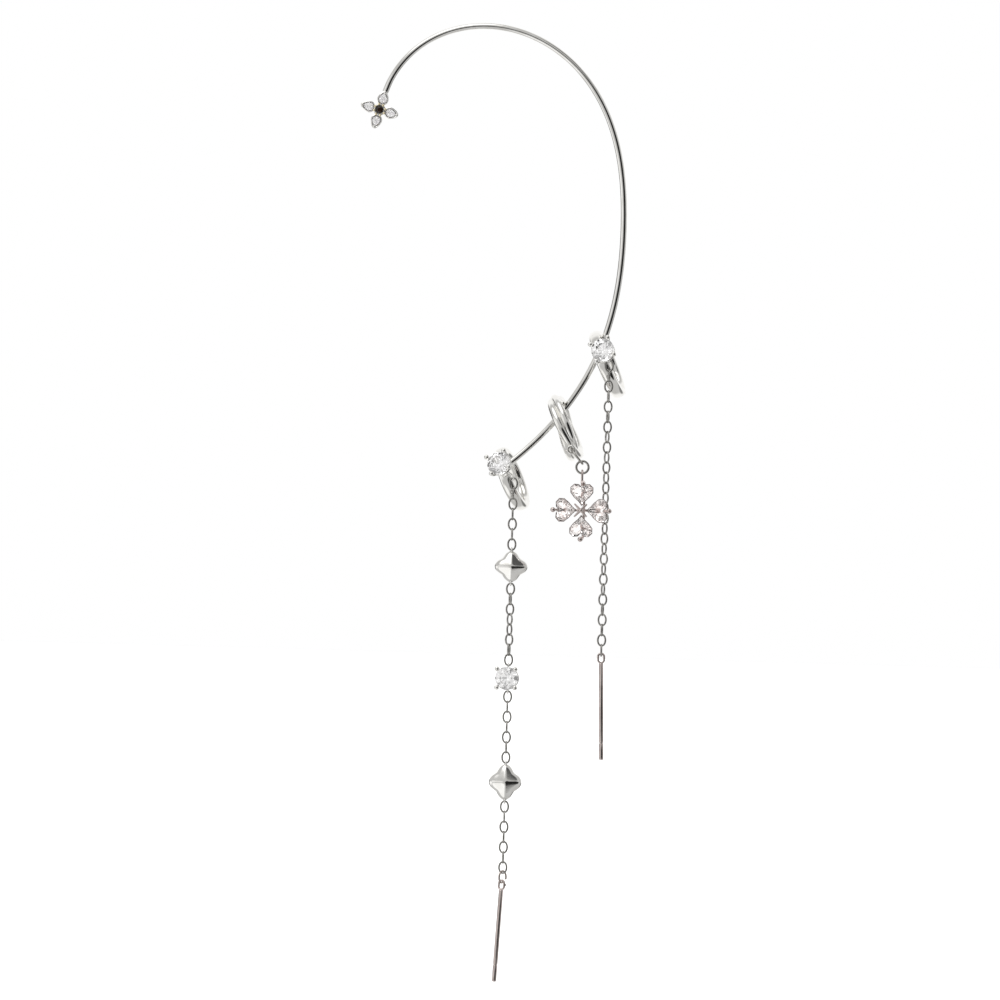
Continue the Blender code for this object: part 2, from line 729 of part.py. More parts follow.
def clover_bead(name, bottom_wire, wire, height):
    """A puffy pointed bead with an eye at each tip. Returns the centre of its lower eye's wire."""
    eye_height = hung_below(bottom_wire, wire, 2 * (EYE_RADIUS + EYE_WIRE), EYE_WIRE, GAP)
    middle = Vector((bottom_wire.x, bottom_wire.y, eye_height - height / 2 - BEAD_TIP_BELOW_EYE))
    front = Matrix.Translation(middle) @ turned("X", 90.0)
    outline = bead_outline(height)
    layers = []
    for station in BEAD_STATIONS:
        layers.append((shrunk(outline, station.reach, (0.0, 0.0)), station.height * BEAD_DEPTH / 2))
    body = loft(layers, front)
    lower = Vector((middle.x, middle.y, 2 * middle.z - eye_height))
    upper = Vector((middle.x, middle.y, eye_height))
    finished(united(name, [body, eye_link(upper), eye_link(lower)]), SILVER, smooth_angle=22.0)
    return lower - Vector((0.0, 0.0, EYE_RADIUS))


def chain_stone(bottom_wire, wire):
    """A round stone in a prong setting with an eye above and below. Returns the lower eye's wire."""
    eye_height = hung_below(bottom_wire, wire, 2 * (EYE_RADIUS + EYE_WIRE), EYE_WIRE, GAP)
    reach = GALLERY_RADIUS + EYE_RADIUS
    middle = Vector((bottom_wire.x, bottom_wire.y, eye_height - reach))
    front = Matrix.Translation(middle) @ turned("Z", -CHAIN_STONE_YAW) @ turned("X", 90.0) @ moved(z=GALLERY_DEPTH)
    foot = BASKET_HEIGHT - CHAIN_SETTING_SAVED
    pieces = basket_pieces(front, foot)
    low, high = -foot - CHAIN_FOOT_HALF, -foot + CHAIN_FOOT_HALF
    profile = ((0.0, low), (BASKET_FOOT_RADIUS, low), (BASKET_FOOT_RADIUS, high), (0.0, high))
    pieces.append(lathe(profile, front, STONE_SIDES))
    lower = Vector((middle.x, middle.y, middle.z - reach))
    pieces += [eye_link(Vector((middle.x, middle.y, eye_height))), eye_link(lower)]
    finished(united("chain_setting", pieces), SILVER)
    outline = round_outline(STONE_RADIUS, STONE_SIDES)
    cut_stone("chain_stone", outline, (0.0, 0.0), STONE_RADIUS, front, CLEAR_STONE)
    return lower - Vector((0.0, 0.0, EYE_RADIUS))


def open_ring(bottom_wire, wire):
    """A jump ring left open, its tail pointing down. Returns the centre of its lower wire."""
    height = bottom_wire.z + wire + OPEN_RING_WIRE + GAP - OPEN_RING_RADIUS
    frame = moved(bottom_wire.x, bottom_wire.y, height) @ turned("Z", OPEN_RING_TURN)
    places = []
    steps = RING_SEGMENTS
    for index in range(steps + 1):
        angle = math.radians(OPEN_RING_END - OPEN_RING_SWEEP * (1.0 - index / steps))
        shift = OPEN_RING_RISE * (math.degrees(angle) + 270.0) / 180.0
        places.append(Vector((OPEN_RING_RADIUS * math.cos(angle), shift, OPEN_RING_RADIUS * math.sin(angle))))
    leave = (places[-1] - places[-2]).normalized()
    tail = (leave + Vector((1.0, 0.0, -OPEN_RING_TAIL_SLOPE))).normalized() * OPEN_RING_TAIL
    places.append(places[-1] + tail)
    finished(tube([frame @ place for place in places], OPEN_RING_WIRE), ROSE_SILVER).name = "open_ring"
    return frame @ Vector((0.0, OPEN_RING_RISE, -OPEN_RING_RADIUS))


def heart_outline():
    """A heart with its point at the origin and its two lobes towards +X."""
    outline = []
    for index in range(HEART_POINTS):
        angle = math.tau * index / HEART_POINTS
        across = math.sin(angle) ** 3
        along = sum(weight * math.cos((wave + 1) * angle) for wave, weight in enumerate(HEART_WAVES))
        share = (along - sum(HEART_WAVES[1::2]) + sum(HEART_WAVES[0::2])) / HEART_WAVE_REACH
        outline.append((share * HEART_LENGTH, across * HEART_WIDTH / 2))
    return outline


def charm(bail_top):
    """The clover: a frame with a cross, prongs and a bail, and four heart stones."""
    depth = (GIRDLE_SHARE + PAVILION_SHARE) * HEART_THICKNESS
    back = -depth - GAP - CHARM_PRONG_RADIUS
    tip = HEART_INNER + HEART_LENGTH
    outside = tip + CHARM_ARM_OUT
    bail_half = CHARM_BAIL_HEIGHT / 2
    centre = Vector((bail_top.x, bail_top.y - CHARM_FORWARD, bail_top.z - bail_half - tip - CHARM_BAIL_OVER_TIP))
    face = Matrix.Translation(centre) @ turned("Z", CHARM_TURN) @ turned("X", 90.0)
    post = [face @ Vector((0.0, 0.0, back)), face @ Vector((0.0, 0.0, CHARM_CROSS_HEIGHT))]
    pieces = [tube(post, CHARM_CROSS_WIDTH)]
    side = (
        (outside - CHARM_ARM_ROUNDING / 3, CHARM_BEAD_HEIGHT),
        (outside, 0.0),
        (outside, 0.6 * back),
        (outside - CHARM_ARM_ROUNDING, back),
    )
    for index in range(2):
        bar = face @ turned("Z", 90.0 * index + CHARM_SKEW) @ moved(z=CHARM_STEP * index)
        places = [(-x, z) for x, z in side] + [(x, z) for x, z in reversed(side)]
        pieces.append(tube([bar @ Vector((x, 0.0, z)) for x, z in places], CHARM_PRONG_RADIUS))
        cross = face @ turned("Z", 45.0 + CHARM_SKEW + 90.0 * index)
        cross = cross @ moved(z=CHARM_CROSS_HEIGHT + CHARM_STEP * index)
        ends = [cross @ Vector((-CHARM_CROSS_LENGTH, 0.0, 0.0)), cross @ Vector((CHARM_CROSS_LENGTH, 0.0, 0.0))]
        pieces.append(tube(ends, CHARM_CROSS_WIDTH))
    for index in range(4):
        arm = face @ turned("Z", 90.0 * index)
        if index != 1:
            pieces.append(sphere(CHARM_BEAD_RADIUS, arm @ Vector((outside, 0.0, CHARM_BEAD_HEIGHT)), 8))
        stone = arm @ moved(x=HEART_INNER)
        outline = heart_outline()
        middle = (HEART_MIDDLE_SHARE * HEART_LENGTH, 0.0)
        cut_stone(f"heart_stone_{index + 1}", outline, middle, HEART_THICKNESS, stone, CLEAR_STONE)
    bail_place = Vector((bail_top.x, bail_top.y, bail_top.z - bail_half))
    loop = Matrix.Translation(bail_place) @ turned("Z", 90.0)
    stretch = CHARM_BAIL_HEIGHT - 2 * CHARM_BAIL_RADIUS
    pieces.append(ring(CHARM_BAIL_RADIUS, RING_WIRE, loop, 12, 5, stretch))
    finished(united("charm_frame", pieces), ROSE_SILVER)


def charm_drop(eye):
    """The edge-on ring in the cuff's eye, the round ring below it and the charm."""
    lean = turned("Y", HANGER_LEAN)
    down = lean @ Vector((0.0, 0.0, -1.0))
    middle = eye + down * (HANGER_RADIUS + TWIST_EYE_RADIUS - 2 * RING_WIRE - GAP)
    hanger = ring(HANGER_RADIUS, RING_WIRE, Matrix.Translation(middle) @ lean @ turned("Z", 90.0))
    hanger.name = "hanger_ring"
    finished(hanger, DARK_SILVER)
    lowest = middle + down * HANGER_RADIUS
    height = lowest.z + 2 * RING_WIRE + GAP - ROUND_RING_RADIUS
    round_ring = ring(ROUND_RING_RADIUS, RING_WIRE, moved(lowest.x, lowest.y, height))
    round_ring.name = "round_ring"
    finished(round_ring, DARK_SILVER)
    bottom = Vector((lowest.x, lowest.y, height - ROUND_RING_RADIUS))
    charm(bottom + Vector((0.0, 0.0, 2 * RING_WIRE + GAP)))


def right_side():
    """The upper cuff with its chain and rod."""
    eye = stone_cuff("upper_cuff", UPPER_CUFF)
    bottom = eye - Vector((0.0, 0.0, EYE_RADIUS))
    end = chain("right_chain", bottom, EYE_WIRE, RIGHT_LINKS, 0.0, 90.0)
    rod("right_rod", end, LINK_WIRE, RIGHT_ROD_LENGTH, RIGHT_ROD_LEAN, 0.0)


def left_side():
    """The lower cuff and what hangs from it, from the top down."""
    eye = stone_cuff("lower_cuff", LOWER_CUFF)
    bottom = eye - Vector((0.0, 0.0, EYE_RADIUS))
    end = chain("left_chain_1", bottom, EYE_WIRE, LEFT_LINKS[0], 0.0, 0.0)
    end = clover_bead("upper_bead", end, LINK_WIRE, UPPER_BEAD_HEIGHT)
    end = chain("left_chain_2", end, EYE_WIRE, LEFT_LINKS[1], 0.0, 90.0)
    end = chain_stone(end, LINK_WIRE)
    end = chain("left_chain_3", end, EYE_WIRE, LEFT_LINKS[2], 0.0, 0.0)
    end = clover_bead("lower_bead", end, LINK_WIRE, LOWER_BEAD_HEIGHT)
    end = chain("left_chain_4", end, EYE_WIRE, LEFT_LINKS[3], 0.0, 0.0)
    end = open_ring(end, LINK_WIRE)
    rod("left_rod", end, OPEN_RING_WIRE, LEFT_ROD_LENGTH, LEFT_ROD_LEAN, OPEN_RING_TURN - 90.0)


def main():
    """Builds every piece."""
    clear_scene()
    ear_hook()
    right_side()
    charm_drop(twisted_cuff(TWISTED_CUFF))
    left_side()


if __name__ == "__main__":
    main()
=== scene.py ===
"""An ear cuff with three small hoops, two hanging chains and a clover charm, dressed for a studio photo.

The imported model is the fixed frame. Each sub-assembly below is a class that repeats the model's sizes in
metres, builds its own finer metal and stones at the same places, and replaces the plain solids with them.
X points right as the hook is seen from the front, Y away from the viewer and Z up. The origin is the inside
of the wire's crest, where the hook rests on the ear.
"""

from __future__ import annotations

import logging
import math
from collections.abc import Iterable, Sequence
from dataclasses import dataclass, field
from enum import Enum

import bmesh
import bpy
from mathutils import Matrix, Vector


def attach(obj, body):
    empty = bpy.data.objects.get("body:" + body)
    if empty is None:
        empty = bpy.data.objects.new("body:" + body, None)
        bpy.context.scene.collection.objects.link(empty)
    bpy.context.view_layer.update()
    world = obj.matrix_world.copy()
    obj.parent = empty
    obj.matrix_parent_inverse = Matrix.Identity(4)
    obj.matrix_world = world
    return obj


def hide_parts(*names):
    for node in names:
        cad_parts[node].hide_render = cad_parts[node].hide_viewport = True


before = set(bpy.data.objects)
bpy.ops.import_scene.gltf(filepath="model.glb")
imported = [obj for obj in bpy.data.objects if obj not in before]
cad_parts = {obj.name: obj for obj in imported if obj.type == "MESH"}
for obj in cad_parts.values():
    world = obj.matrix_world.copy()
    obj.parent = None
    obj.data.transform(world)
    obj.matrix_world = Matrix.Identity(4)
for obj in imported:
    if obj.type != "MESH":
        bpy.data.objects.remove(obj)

LOG = logging.getLogger("ear_cuff")
MM = 0.001
ROOT = "root"

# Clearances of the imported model, which place what hangs on what
GAP = 0.06 * MM
SOLDER = 0.12 * MM

Loop = Sequence[Vector]
Pair = tuple[float, float]
Colour = tuple[float, float, float]


class Axis(Enum):
    """The axes that a piece is turned about."""

    X = "X"
    Y = "Y"
    Z = "Z"


def turned(axis: Axis, degrees: float) -> Matrix:
    """A rotation about one axis."""
    return Matrix.Rotation(math.radians(degrees), 4, axis.value)


def moved(x: float = 0.0, y: float = 0.0, z: float = 0.0) -> Matrix:
    """A move along the axes."""
    return Matrix.Translation((x, y, z))


def at(place: Vector) -> Matrix:
    """A move to a place."""
    return Matrix.Translation(place)


# Shaders


@dataclass
class ShaderSketch:
    """A material under construction, whose patterns read the piece's own Object coordinates."""

    name: str
    material: bpy.types.Material = field(init=False)

    def __post_init__(self) -> None:
        """Opens the material and finds its shader."""
        self.material = bpy.data.materials.new(self.name)
        self.material.use_nodes = True
        self.tree = self.material.node_tree
        self.shader = self.tree.nodes["Principled BSDF"]
        self.place = self.tree.nodes.new("ShaderNodeTexCoord")

    def link(self, source: bpy.types.NodeSocket, target: bpy.types.NodeSocket) -> None:
        """Joins two sockets."""
        self.tree.links.new(source, target)

    def put(self, **values: object) -> None:
        """Sets the shader's own sockets, named with underscores for spaces."""
        for name, value in values.items():
            self.shader.inputs[name.replace("_", " ")].default_value = value

    def noise(self, per_mm: float, stretch: Sequence[float] = (1.0, 1.0, 1.0), detail: float = 3.0,
              turn: float = 0.0) -> bpy.types.NodeSocket:
        """A noise pattern.

        Args:
            per_mm: Waves in a millimetre.
            stretch: How many times finer the pattern is along each axis.
            detail: Octaves of finer noise.
            turn: Degrees that the pattern is turned about the viewer's axis.

        Returns:
            The noise's value, from 0 to 1.
        """
        mapping = self.tree.nodes.new("ShaderNodeMapping")
        mapping.inputs["Scale"].default_value = [per_mm * share / MM for share in stretch]
        mapping.inputs["Rotation"].default_value = (0.0, math.radians(turn), 0.0)
        noise = self.tree.nodes.new("ShaderNodeTexNoise")
        noise.inputs["Scale"].default_value = 1.0
        noise.inputs["Detail"].default_value = detail
        self.link(self.place.outputs["Object"], mapping.inputs["Vector"])
        self.link(mapping.outputs["Vector"], noise.inputs["Vector"])
        return noise.outputs["Fac"]

    def ranged(self, value: bpy.types.NodeSocket, low: float, high: float, start: float = 0.3,
               end: float = 0.7) -> bpy.types.NodeSocket:
        """Draws a value from one range onto another.

        Args:
            value: The value.
            low: What it becomes at the start.
            high: What it becomes at the end.
            start: Where the range starts.
            end: Where it ends.

        Returns:
            The new value.
        """
        node = self.tree.nodes.new("ShaderNodeMapRange")
        for name, number in (("From Min", start), ("From Max", end), ("To Min", low), ("To Max", high)):
            node.inputs[name].default_value = number
        self.link(value, node.inputs["Value"])
        return node.outputs["Result"]

    def blended(self, share: bpy.types.NodeSocket, first: Colour, second: Colour) -> bpy.types.NodeSocket:
        """Blends two colours.

        Args:
            share: The share of the second colour.
            first: The first colour.
            second: The second colour.

        Returns:
            The blend.
        """
        node = self.tree.nodes.new("ShaderNodeMix")
        node.data_type = "RGBA"
        colours = [socket for socket in node.inputs if socket.type == "RGBA"]
        colours[0].default_value = (*first, 1.0)
        colours[1].default_value = (*second, 1.0)
        self.link(share, node.inputs["Factor"])
        return next(socket for socket in node.outputs if socket.type == "RGBA")

    def bumped(self, height: bpy.types.NodeSocket, depth: float) -> None:
        """Sinks a pattern into the surface.

        Args:
            height: The pattern.
            depth: How deep it goes, in metres.
        """
        node = self.tree.nodes.new("ShaderNodeBump")
        node.inputs["Distance"].default_value = depth
        self.link(height, node.inputs["Height"])
        self.link(node.outputs["Normal"], self.shader.inputs["Normal"])


@dataclass(frozen=True)
class Plating:
    """A polished plated metal, a little greyer in patches, with hairline scratches.

    roughness runs from the best polished patches to the most handled ones, and scratch_depth is in metres.
    patches, wear and hairlines are waves in a millimetre, and the turns are in degrees.
    """

    name: str
    slot: str
    bright: Colour
    dull: Colour
    roughness: Pair
    scratch_depth: float = 0.0025 * MM
    patches: float = 0.7
    wear: float = 1.6
    wear_turn: float = 35.0
    hairlines: float = 1.5
    hairline_stretch: float = 14.0
    hairline_turn: float = 62.0

    def material(self) -> bpy.types.Material:
        """Builds the finish.

        Returns:
            The material.
        """
        sketch = ShaderSketch(self.name)
        sketch.put(Metallic=1.0, Specular_IOR_Level=0.5)
        patches = sketch.noise(self.patches, detail=4.0)
        sketch.link(sketch.blended(sketch.ranged(patches, 0.0, 1.0), self.bright, self.dull),
                    sketch.shader.inputs["Base Color"])
        worn = sketch.noise(self.wear, detail=5.0, turn=self.wear_turn)
        sketch.link(sketch.ranged(worn, *self.roughness), sketch.shader.inputs["Roughness"])
        hairlines = sketch.noise(self.hairlines, (1.0, 1.0, self.hairline_stretch), 2.0, self.hairline_turn)
        sketch.bumped(hairlines, self.scratch_depth)
        return sketch.material


@dataclass(frozen=True)
class StoneFinish:
    """A clear or dark cut stone with faint flecks of colour inside.

    flecks and polish are waves in a millimetre. fleck_edge is where in the noise a fleck starts, and where
    it is full.
    """

    name: str
    slot: str
    clear: Colour
    fleck: Colour
    ior: float
    transmission: float = 1.0
    roughness: Pair = (0.0, 0.02)
    flecks: float = 1.9
    fleck_edge: Pair = (0.42, 0.62)
    polish: float = 3.0

    def material(self) -> bpy.types.Material:
        """Builds the finish.

        Returns:
            The material.
        """
        sketch = ShaderSketch(self.name)
        sketch.put(IOR=self.ior, Transmission_Weight=self.transmission, Specular_IOR_Level=0.5)
        flecks = sketch.ranged(sketch.noise(self.flecks, detail=1.0), 0.0, 1.0, *self.fleck_edge)
        sketch.link(sketch.blended(flecks, self.clear, self.fleck), sketch.shader.inputs["Base Color"])
        polish = sketch.noise(self.polish, detail=3.0)
        sketch.link(sketch.ranged(polish, *self.roughness), sketch.shader.inputs["Roughness"])
        return sketch.material


BRIGHT_SILVER = Plating("bright_silver", "silver", (0.90, 0.895, 0.88), (0.78, 0.77, 0.74), (0.04, 0.11))
LINK_SILVER = Plating("link_silver", "link_silver", (0.46, 0.45, 0.43), (0.33, 0.325, 0.31), (0.10, 0.22))
ROSE_SILVER = Plating("rose_silver", "rose_silver", (0.66, 0.59, 0.57), (0.52, 0.45, 0.43), (0.12, 0.26))
GILT = Plating("gilt_beads", "silver", (0.95, 0.86, 0.62), (0.82, 0.72, 0.48), (0.10, 0.2))
CLEAR_STONE = StoneFinish("clear_stone", "clear_stone", (1.0, 1.0, 1.0), (0.93, 0.925, 0.94), ior=2.0)
PETAL_STONE = StoneFinish("petal_stone", "clear_stone", (1.0, 1.0, 1.0), (0.96, 0.94, 0.96), ior=1.5,
                          transmission=0.45, roughness=(0.0, 0.08))
HEART_STONE = StoneFinish("heart_stone", "heart_stone", (0.97, 0.94, 0.93), (0.80, 0.72, 0.70), ior=1.6)
# Painted shade: a dark metal line round each heart's girdle, standing for the grey edge that a cut stone
# shows
GIRDLE_PAINTED_SHADE = Plating("girdle_painted_shade_line", "heart_stone", (0.34, 0.30, 0.29), (0.22, 0.19, 0.18), (0.2, 0.4))
# Painted shade: a darker copy of the rose plating, standing for the shadowed inside of a ring
ROSE_PAINTED_SHADE = Plating("rose_painted_shade", "rose_silver", (0.46, 0.40, 0.37), (0.34, 0.29, 0.27), (0.12, 0.26))
DARK_STONE = StoneFinish("dark_stone", "dark_stone", (0.008, 0.004, 0.003), (0.022, 0.012, 0.008), ior=1.5,
                         transmission=0.05)


@dataclass
class Workshop:
    """Keeps one material of each finish and puts finished pieces on the frame."""

    made: dict[str, bpy.types.Material] = field(default_factory=dict)
    count: int = 0

    def finish(self, look: Plating | StoneFinish) -> bpy.types.Material:
        """Builds a finish's material when it is first asked for.

        Args:
            look: The finish.

        Returns:
            Its material.
        """
        if look.name not in self.made:
            self.made[look.name] = look.material()
        return self.made[look.name]

    def fit(self, name: str, mesh: bpy.types.Mesh, look: Plating | StoneFinish, *nodes: str) -> None:
        """Makes a piece of a mesh, gives it its finish and lets it stand for nodes of the model.

        Args:
            name: The piece's name.
            mesh: Its mesh, in place.
            look: Its finish.
            nodes: The model's nodes that it replaces.
        """
        mesh.name = name
        mesh.materials.clear()
        mesh.materials.append(self.finish(look))
        piece = bpy.data.objects.new(name, mesh)
        bpy.context.scene.collection.objects.link(piece)
        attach(piece, ROOT)
        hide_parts(*nodes)
        self.count += 1
        LOG.info("%s: %d faces for %s", name, len(mesh.polygons), ", ".join(nodes))


# Meshes

BALL_SIDES = 20
BALL_ROWS = 12
CORNER_CUT = 0.25

# How many sides a thin wire and the thinnest ones are drawn with
THIN = 12
THINNEST = 10

# The angles in degrees from which an edge is sharp: on a cut stone, plain metal, soft metal and a bead
FACETED = 1.0
CRISP = 45.0
SOFT = 50.0
PILLOWED = 60.0

# The layers of a cut stone from its culet up: each one's share of the outline, and its height
CUT_DEPTH = 0.91
CUT = ((0.12, -CUT_DEPTH), (0.45, -0.70), (0.76, -0.38), (1.0, -0.07), (1.0, 0.0), (0.80, 0.20),
       (0.58, 0.31))


@dataclass
class Shell:
    """A mesh under construction out of closed bodies."""

    shape: bmesh.types.BMesh = field(default_factory=bmesh.new)

    def loop(self, places: Iterable[Vector]) -> list[bmesh.types.BMVert]:
        """Adds a loop of vertices."""
        return [self.shape.verts.new(place) for place in places]

    def bridge(self, lower: Sequence[bmesh.types.BMVert], upper: Sequence[bmesh.types.BMVert]) -> None:
        """Joins two closed loops, or a loop and a point, with faces.

        Args:
            lower: The first loop.
            upper: The second loop, or a point.
        """
        count = max(len(lower), len(upper))
        for step in range(count):
            after = (step + 1) % count
            corners = [lower[step % len(lower)], lower[after % len(lower)]]
            corners += [upper[after % len(upper)], upper[step % len(upper)]]
            face = list(dict.fromkeys(corners))
            if len(face) > 2:
                self.shape.faces.new(face)

    def facet(self, lower: Sequence[bmesh.types.BMVert], upper: Sequence[bmesh.types.BMVert]) -> None:
        """Joins two closed loops with a zigzag of triangles, as a cutter facets a crown.

        Args:
            lower: The first loop.
            upper: The second loop.
        """
        count = len(lower)
        for step in range(count):
            after = (step + 1) % count
            self.shape.faces.new((lower[step], lower[after], upper[step]))
            self.shape.faces.new((lower[after], upper[after], upper[step]))

    def lathe(self, profile: Sequence[Pair], matrix: Matrix, sides: int = 32) -> Shell:
        """Adds a solid turned about its own Z axis.

        Args:
            profile: Pairs of radius and height, from one end on the axis to the other.
            matrix: Where it stands and how it is turned.
            sides: How many sides it has.

        Returns:
            The shell.
        """
        loops = []
        for radius, height in profile:
            if radius == 0.0:
                loops.append(self.loop([matrix @ Vector((0.0, 0.0, height))]))
                continue
            outline = round_outline(radius, sides)
            loops.append(self.loop(matrix @ Vector((x, y, height)) for x, y in outline))
        for lower, upper in zip(loops, loops[1:]):
            self.bridge(lower, upper)
        return self

    def ball(self, radius: float, place: Vector) -> Shell:
        """Adds a round bead.

        Args:
            radius: Its radius.
            place: Its middle.

        Returns:
            The shell.
        """
        bmesh.ops.create_uvsphere(self.shape, u_segments=BALL_SIDES, v_segments=BALL_ROWS, radius=radius,
                                  matrix=at(place))
        return self

    def ring(self, radius: float, wire: float, matrix: Matrix, stretch: float = 0.0, steps: int = 40,
             sides: int = THIN) -> Shell:
        """Adds a ring in its own XZ plane.

        Args:
            radius: Its centre line's radius.
            wire: Its wire's radius.
            matrix: Where it stands and how it is turned.
            stretch: How far it is pulled out along Z into an oval.
            steps: How many steps it has round.
            sides: How many sides its wire has.

        Returns:
            The shell.
        """
        loops = []
        for across, up in round_outline(1.0, steps):
            raised = math.copysign(stretch / 2, up)
            section = []
            for out, side in round_outline(wire, sides):
                reach = radius + out
                section.append(matrix @ Vector((reach * across, side, reach * up + raised)))
            loops.append(self.loop(section))
        for lower, upper in zip(loops, loops[1:] + loops[:1]):
            self.bridge(lower, upper)
        return self

    def loft(self, layers: Sequence[tuple[Sequence[Pair], float]], matrix: Matrix,
             zigzag: bool = False) -> Shell:
        """Adds a closed solid through flat outlines.

        Args:
            layers: The outlines, each with its height.
            matrix: Where it stands and how it is turned.
            zigzag: Whether triangles join them, as on a cut stone.

        Returns:
            The shell.
        """
        loops = []
        for outline, height in layers:
            loops.append(self.loop(matrix @ Vector((x, y, height)) for x, y in outline))
        for lower, upper in zip(loops, loops[1:]):
            (self.facet if zigzag else self.bridge)(lower, upper)
        self.shape.faces.new(loops[0])
        self.shape.faces.new(loops[-1])
        return self

    def hull(self, places: Iterable[Vector]) -> Shell:
        """Adds the facets of the smallest convex solid round some places.

        Args:
            places: The places.

        Returns:
            The shell.
        """
        corners = self.loop(places)
        made = bmesh.ops.convex_hull(self.shape, input=corners)
        bmesh.ops.delete(self.shape, geom=made["geom_unused"] + made["geom_interior"], context="VERTS")
        return self

    def mesh(self, smooth_angle: float = 40.0) -> bpy.types.Mesh:
        """Finishes the mesh, its faces outwards.

        Args:
            smooth_angle: The angle in degrees from which its edges are sharp.

        Returns:
            The mesh.
        """
        bmesh.ops.recalc_face_normals(self.shape, faces=self.shape.faces[:])
        mesh = bpy.data.meshes.new("shell")
        self.shape.to_mesh(mesh)
        self.shape.free()
        mesh.shade_smooth()
        mesh.set_sharp_from_angle(angle=math.radians(smooth_angle))
        return mesh

    def take(self, mesh: bpy.types.Mesh) -> Shell:
        """Takes a finished mesh in and discards it.

        Args:
            mesh: The mesh.

        Returns:
            The shell.
        """
        self.shape.from_mesh(mesh)
        bpy.data.meshes.remove(mesh)
        return self


def round_outline(radius: float, sides: int) -> list[Pair]:
    """Points round a circle, none of them on its axes."""
    angles = [math.tau * (step + 0.5) / sides for step in range(sides)]
    return [(radius * math.cos(angle), radius * math.sin(angle)) for angle in angles]


def shrunk(outline: Sequence[Pair], share: float, centre: Pair = (0.0, 0.0)) -> list[Pair]:
    """The outline drawn in towards a centre."""
    return [(centre[0] + (x - centre[0]) * share, centre[1] + (y - centre[1]) * share) for x, y in outline]


# Geometry Nodes


@dataclass
class NodeSketch:
    """A Geometry Nodes tree under construction, with named inputs."""

    name: str
    tree: bpy.types.GeometryNodeTree = field(init=False)

    def __post_init__(self) -> None:
        """Opens the tree with its inlet and outlet."""
        self.tree = bpy.data.node_groups.new(self.name, "GeometryNodeTree")
        self.tree.interface.new_socket("Geometry", in_out="OUTPUT", socket_type="NodeSocketGeometry")
        self.inlet = self.tree.nodes.new("NodeGroupInput")
        self.outlet = self.tree.nodes.new("NodeGroupOutput")

    def size(self, name: str, kind: str = "Float") -> bpy.types.NodeSocket:
        """Adds a named input and returns its socket."""
        self.tree.interface.new_socket(name, in_out="INPUT", socket_type="NodeSocket" + kind)
        return self.inlet.outputs[name]

    def add(self, kind: str, *feeds: tuple[str, object]) -> bpy.types.Node:
        """Adds a node.

        Args:
            kind: The node's type, without GeometryNode where it starts so.
            feeds: The name of each socket with what it takes, a number or another node's socket.

        Returns:
            The node.
        """
        prefix = "" if kind.startswith(("Shader", "Function")) else "GeometryNode"
        node = self.tree.nodes.new(prefix + kind)
        for name, feed in feeds:
            socket = next(s for s in node.inputs if s.name == name and s.enabled and not s.is_linked)
            if isinstance(feed, bpy.types.NodeSocket):
                self.tree.links.new(feed, socket)
            else:
                socket.default_value = feed
        return node

    def maths(self, operation: str, first: object, second: object) -> bpy.types.NodeSocket:
        """Adds one sum, product or the like.

        Args:
            operation: The operation's name.
            first: Its first number or socket.
            second: Its second.

        Returns:
            The outcome.
        """
        node = self.tree.nodes.new("ShaderNodeMath")
        node.operation = operation
        for socket, feed in zip(node.inputs, (first, second)):
            if isinstance(feed, bpy.types.NodeSocket):
                self.tree.links.new(feed, socket)
            else:
                socket.default_value = feed
        return node.outputs[0]

    def close(self, metal: bpy.types.NodeSocket, material: bpy.types.NodeSocket) -> None:
        """Ends the tree: smooth faces, real copies and their material.

        Args:
            metal: The shape.
            material: Its material.
        """
        smooth = self.add("SetShadeSmooth", ("Geometry", metal))
        real = self.add("RealizeInstances", ("Geometry", smooth.outputs[0]))
        dressed = self.add("SetMaterial", ("Geometry", real.outputs[0]), ("Material", material))
        self.tree.links.new(dressed.outputs[0], self.outlet.inputs[0])

    def grown(self, base: bpy.types.Mesh, values: dict[str, object]) -> bpy.types.Mesh:
        """Runs the tree on a mesh.

        Args:
            base: What the tree starts from.
            values: What each named input is set to.

        Returns:
            The outcome as a plain mesh.
        """
        holder = bpy.data.objects.new(self.name, base)
        bpy.context.scene.collection.objects.link(holder)
        modifier = holder.modifiers.new(self.name, "NODES")
        modifier.node_group = self.tree
        for item in self.tree.interface.items_tree:
            if item.in_out == "INPUT" and item.name in values:
                modifier[item.identifier] = values[item.name]
        graph = bpy.context.evaluated_depsgraph_get()
        mesh = bpy.data.meshes.new_from_object(holder.evaluated_get(graph))
        holder.modifiers.clear()
        bpy.data.objects.remove(holder)
        bpy.data.meshes.remove(base)
        return mesh


